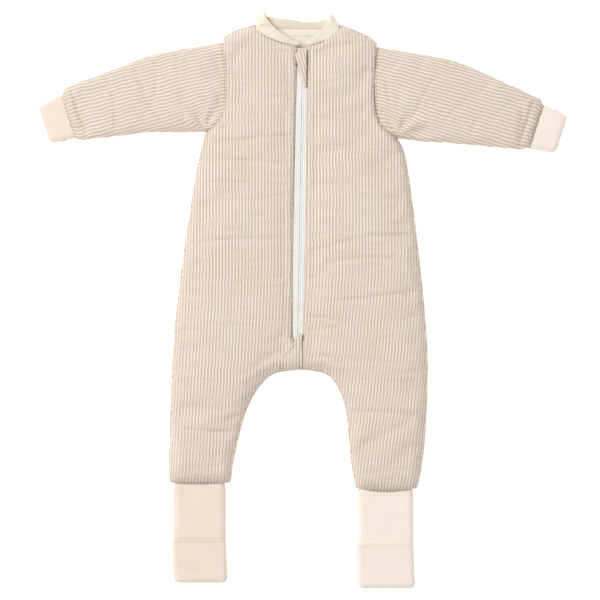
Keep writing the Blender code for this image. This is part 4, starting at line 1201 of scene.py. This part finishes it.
def zip_tape(word, side):
    """A woven tape whose inner edge lies over the coil and bulges with it."""
    width = abs(tape_edge(word, True, True) - zip_top)
    across = np.concatenate([np.linspace(0.12 * MM, 3.4 * MM, 14), np.linspace(4 * MM, width, 8)])
    along = np.linspace(0, 1, 180)
    bulge = np.sqrt(np.clip(1 - ((across - 1.6 * MM) / (1.55 * MM)) ** 2, 0, 1))
    verts, uv = [], []
    for share in along:
        x = zip_top + (zip_low - zip_top) * share
        y = left_high.y + (left_low.y - left_high.y) * share
        for d, b in zip(across, bulge):
            verts.append((x + side * d, y, TAPE_TOP - COIL_BULGE * (1 - b)))
            uv.append((side * d, y))
    count = len(across)
    faces = [(r * count + c, (r + 1) * count + c, (r + 1) * count + c + 1, r * count + c + 1)
             for r in range(len(along) - 1) for c in range(count - 1)]
    if side < 0:
        faces = [face[::-1] for face in faces]
    tape = make_object(f"zip_tape_{word}_woven", verts, faces, [zip_weave], uv=uv)
    thicken(tape, TAPE_CLOTH, np.ones(len(verts)), 0)
    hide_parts(f"zip_tape_{word}")
    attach(tape, "body")


for word, side in (("left", 1), ("right", -1)):
    zip_tape(word, side)
    from_cad(f"zip_top_stop_{word}_moulded", f"zip_top_stop_{word}", nylon, 0.3 * MM,
             "body")
underlap = from_cad("zip_underlap_jersey", "zip_underlap", jersey, 0.3 * MM,
                    "body", 2)
from_cad("zip_bottom_stop_metal", "zip_bottom_stop", dark_steel, 0.3 * MM,
         "body")
from_cad("zip_slider_painted", "zip_slider", paint, 0.35 * MM, "slider")
from_cad("zip_pull_painted", "zip_pull", paint, 0.25 * MM, "pull")

# %% Coils
COIL_PITCH, COIL_WIRE = 1.5 * MM, 0.32 * MM
for word, side in (("left", 1), ("right", -1)):
    low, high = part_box(f"zip_coil_{word}")
    # the coil's solid leans with the zip, so its line is drawn through its end faces
    solid = frame["nodes"][f"zip_coil_{word}"]
    ends = np.array([solid.matrix_world @ v.co for v in solid.data.vertices])
    top = ends[ends[:, 1] > high.y - 1 * MM]
    bottom = ends[ends[:, 1] < low.y + 1 * MM]
    reach, depth = np.ptp(top[:, 0]) / 2 - COIL_WIRE, (high.z - low.z) / 2 - COIL_WIRE
    turn = np.linspace(0, 2 * math.pi, 13)[:-1]
    loop = [(COIL_PITCH * 0.35 * math.sin(t / 2), side * reach * math.cos(t),
             depth * math.sin(t)) for t in turn]
    piece = wire(f"coil_loop_{word}", loop, COIL_WIRE, closed=True)
    start, end = top.mean(0), bottom.mean(0)
    start[1], end[1] = high.y - COIL_WIRE, low.y + COIL_WIRE
    # the loops of one coil lie between those of the other
    if side < 0:
        start[1] -= COIL_PITCH / 2
    coil = along_line(f"zip_coil_{word}_wound", (start, end), piece, COIL_PITCH, nylon)
    bpy.data.objects.remove(piece)
    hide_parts(f"zip_coil_{word}")
    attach(coil, "body")
    print(coil.name, len(coil.data.polygons), "faces")

# %% [markdown]
# ## Garage and guard
#
# Two small folded pieces of the striped cloth: one, cut at a slant, covers the slider at the
# neck, and one, whose stripes run on with the fronts', covers the zip's lower end.


# %% Folded cloth pieces
def folded_piece(name, node, turn, puff):
    """A flat folded piece of cloth over a solid's outline, with rounded edges."""
    low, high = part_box(node)
    middle = (low.z + high.z) / 2
    runs = split_runs(facing_loop(node, 1, middle), middle, high.z - middle)
    flat, faces = fill(runs, 1.3 * MM)
    rim = np.vstack([line[:-1] for kind, line in runs])
    closed = np.vstack([rim, rim[:1]])
    from_edge = distance_to(flat, closed)
    height = (high.z - low.z) / 2 * round_in(from_edge, 1.4 * MM)
    rise = puff * ease(from_edge, 3 * MM) + 0.25 * MM * slow_noise(flat, 0.008, 2.2)
    # an edge that only one triangle uses is on the rim
    uses = Counter(tuple(sorted(pair)) for a, b, c in faces
                   for pair in ((a, b), (b, c), (c, a)))
    on_edge = np.zeros(len(flat), bool)
    on_edge[[k for pair, count in uses.items() if count == 1 for k in pair]] = True
    piece = two_faced(name, flat, faces, on_edge, middle + height + rise, middle - height,
                      [muslin])
    points = coordinates(piece)
    cosine, sine = math.cos(turn), math.sin(turn)
    set_uv(piece, np.column_stack([points[:, 0] * cosine + points[:, 1] * sine,
                                   points[:, 1] * cosine - points[:, 0] * sine]))
    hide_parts(node)
    return piece


GUARD_DROP = 8.5 * MM       # the guard's lower edge runs on to the crotch seam
garage = folded_piece("zip_garage_folded", "zip_garage", math.radians(16), 0.3 * MM)
low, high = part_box("zip_garage")
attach(garage, "garage")
guard = folded_piece("zip_guard_folded", "zip_guard", math.radians(-1), 0.2 * MM)
points = coordinates(guard)
low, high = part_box("zip_guard")
under = [BVHTree.FromObject(panel, bpy.context.evaluated_depsgraph_get())
         for panel, runs in fronts.values()]
points[:, 1] -= GUARD_DROP * (1 - ease(points[:, 1] - low.y, 14 * MM))
for point in points:
    found = [tree.ray_cast(Vector((point[0], point[1], ABOVE_ALL)), Vector((0, 0, -1)))[0]
             for tree in under]
    level = max([spot.z for spot in found if spot is not None] or [low.z])
    point[2] += min(level, high.z) + 0.15 * MM - low.z
set_coordinates(guard, points)
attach(guard, "body")

# %% [markdown]
# ## Topstitching
#
# Rows of small stitches hold the zip, the neck seam and the folded pieces. One stitch is a
# short rounded dash of thread; the same node tree as for the coil repeats it. The line of
# each row is dropped onto the cloth first, so that the stitches follow its puffs. Rows in amber
# and yellow thread beside the cuffs, along the armholes, the foot flaps and the guard also paint
# the shadow lines there.


# %% Stitches
def onto(thing, flat, lift):
    """Points dropped straight down onto a piece."""
    tree = BVHTree.FromObject(thing, bpy.context.evaluated_depsgraph_get())
    found = []
    for x, y in flat:
        place = tree.ray_cast(Vector((x, y, ABOVE_ALL)), Vector((0, 0, -1)))[0]
        if place is not None:
            found.append((x, y, place.z + lift))
    return found


dash = wire("stitch", [(-1.1 * MM, 0, -0.1 * MM), (-0.6 * MM, 0, 0), (0.6 * MM, 0, 0),
                       (1.1 * MM, 0, -0.1 * MM)], 0.2 * MM, rounds=1)
STITCH_PITCH = 3.1 * MM


def stitch_row(name, thing, flat, body, pitch=STITCH_PITCH, material=None, bend=None):
    """A row of stitches on a piece along a line in plan."""
    line = onto(thing, smooth_run(np.array(flat), 2 * MM), 0.02 * MM)
    row = along_line(name, line, dash, pitch, material or thread)
    if bend:
        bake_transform(row)
    else:
        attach(row, body)
    print(name, len(line), "points,", len(row.data.polygons), "faces")


low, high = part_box("neck_tape")
y = high.y + 0.2 * MM
stitch_row("neck_seam", neck_tape, [(low.x + 1 * MM, y), (high.x - 1 * MM, y)], "body",
           1.9 * MM, seam_and_shadow_thread)
for word, side in (("left", 1), ("right", -1)):
    panel, runs = fronts[word]
    edge = next(line for kind, line in runs if kind == "zip")
    edge = edge[np.argsort(edge[:, 1])]
    edge = edge[edge[:, 1] > ZIP_END]
    stitch_row(f"zip_topstitch_{word}", panel, edge + (side * 4.5 * MM, 0), "body")
for word, side in (("left", 1), ("right", -1)):
    wrist = sleeve_wrists[word]
    inward = np.array([-side * 0.951, 0.309]) * 16 * MM
    spread = (wrist[1] - wrist[0]) * 0.02
    # the row beside each cuff is a gather seam whose dark amber colour also paints the shadow line
    # of the fold there
    stitch_row(f"gather_seam_{word}", sleeves[word], [wrist[0] + inward - spread,
                                                      wrist[1] + inward + spread],
               f"sleeve_{word}", 1.9 * MM, amber_shadow_thread, sleeve_bends[word])
    # the row just outside each armhole edge paints, in amber stitches, the shadow that the body's
    # raised edge casts on the sleeve
    edge = next(line for kind, line in fronts[word][1] if kind == "armhole")
    edge = edge[np.argsort(edge[:, 1])][1:-1]
    stitch_row(f"armhole_seam_{word}", sleeves[word], edge + (side * 3.2 * MM, 0),
               f"sleeve_{word}", 2.1 * MM, amber_shadow_thread, sleeve_bends[word])
    foot = bpy.data.objects[f"foot_cuff_{word}_knit"]
    # the row along each flap's free edge paints the warm shadow under that edge in yellow thread
    for row, node, rise, pitch in (("flap_edge", "foot_flap", 0.9 * MM, 1.9 * MM),
                                   ("hem_seam", "foot_cuff", -10 * MM, 4.2 * MM)):
        low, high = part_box(f"{node}_{word}")
        y = high.y + rise
        stitch_row(f"{row}_{word}", foot, [(low.x + 5 * MM, y), (high.x - 5 * MM, y)], "body",
                   pitch, seam_and_shadow_thread)
# the guard is stitched down along its slanting and its upright edge, and tacked at its corner; the
# amber colour of the two edge rows paints the shadow along those edges
low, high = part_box("zip_guard")
for row, start, end, pitch, material in (
        ("guard_slope_seam", (high.x - 11 * MM, high.y - 15 * MM),
         (low.x + 3 * MM, low.y + 2 * MM), 2.0 * MM, amber_shadow_thread),
        ("guard_upright_seam", (high.x - 1.4 * MM, high.y - 4 * MM),
         (high.x - 2.4 * MM, low.y + 1 * MM), 2.0 * MM, amber_shadow_thread),
        ("guard_bar_tack", (high.x - 13 * MM, high.y - 16.5 * MM),
         (high.x - 16 * MM, high.y - 20 * MM), 1.1 * MM, dark_thread)):
    stitch_row(row, guard, [start, end], "body", pitch, material)
bpy.data.objects.remove(dash)

# %% [markdown]
# ## Floor, light and camera
#
# The garment lies on a white sheet of paper under soft studio light: a bright surrounding and
# one large lamp from the upper left, which gives the folds their gentle shade. The camera
# looks straight down from 4 m, so the picture is almost free of perspective.

# %% Floor
floor_paper, tree, shader = start_material("white_paper", 0.95)
shader.inputs["Base Color"].default_value = (0.92, 0.92, 0.92, 1)
shader.inputs["Emission Color"].default_value = (1, 1, 1, 1)
shader.inputs["Emission Strength"].default_value = 0.55
FLOOR_HALF, FLOOR_Z = 15.0, -0.0006
floor = make_object("floor", [(x * FLOOR_HALF, y * FLOOR_HALF, FLOOR_Z)
                              for x, y in ((-1, -1), (1, -1), (1, 1), (-1, 1))],
                    [(0, 1, 2, 3)], [floor_paper], smooth=False)
floor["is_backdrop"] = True

# %% Light
world = bpy.data.worlds.new("studio")
bpy.context.scene.world = world
world.use_nodes = True
world.node_tree.nodes["Background"].inputs["Color"].default_value = (1, 1, 1, 1)
world.node_tree.nodes["Background"].inputs["Strength"].default_value = 0.48
lamp_data = bpy.data.lights.new("softbox", "AREA")
lamp_data.size, lamp_data.energy = 1.8, 162
lamp = new_object("softbox", lamp_data)
lamp.location = (-1.7, 1.2, 4.6)
aim = Vector((0, -0.2, 0)) - lamp.location
lamp.rotation_euler = aim.to_track_quat("-Z", "Y").to_euler()
lamp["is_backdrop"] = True

# %% Camera
SENSOR = 36                 # millimetres
CAMERA_HEIGHT = 4.02
GARMENT_HEIGHT = 0.02
FIELD = 0.8805              # width of the view at the garment's height
camera_data = bpy.data.cameras.new("camera")
camera_data.sensor_width = SENSOR
camera_data.lens = SENSOR * (CAMERA_HEIGHT - GARMENT_HEIGHT) / FIELD
camera = new_object("camera", camera_data)
camera.location = (-0.0056, 0.0003, CAMERA_HEIGHT)
bpy.context.scene.camera = camera
bpy.context.scene.view_settings.view_transform = "Standard"

# %% Finish
bpy.context.view_layer.update()
low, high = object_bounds()
print("visual box:", [round(v, 4) for v in low], [round(v, 4) for v in high])
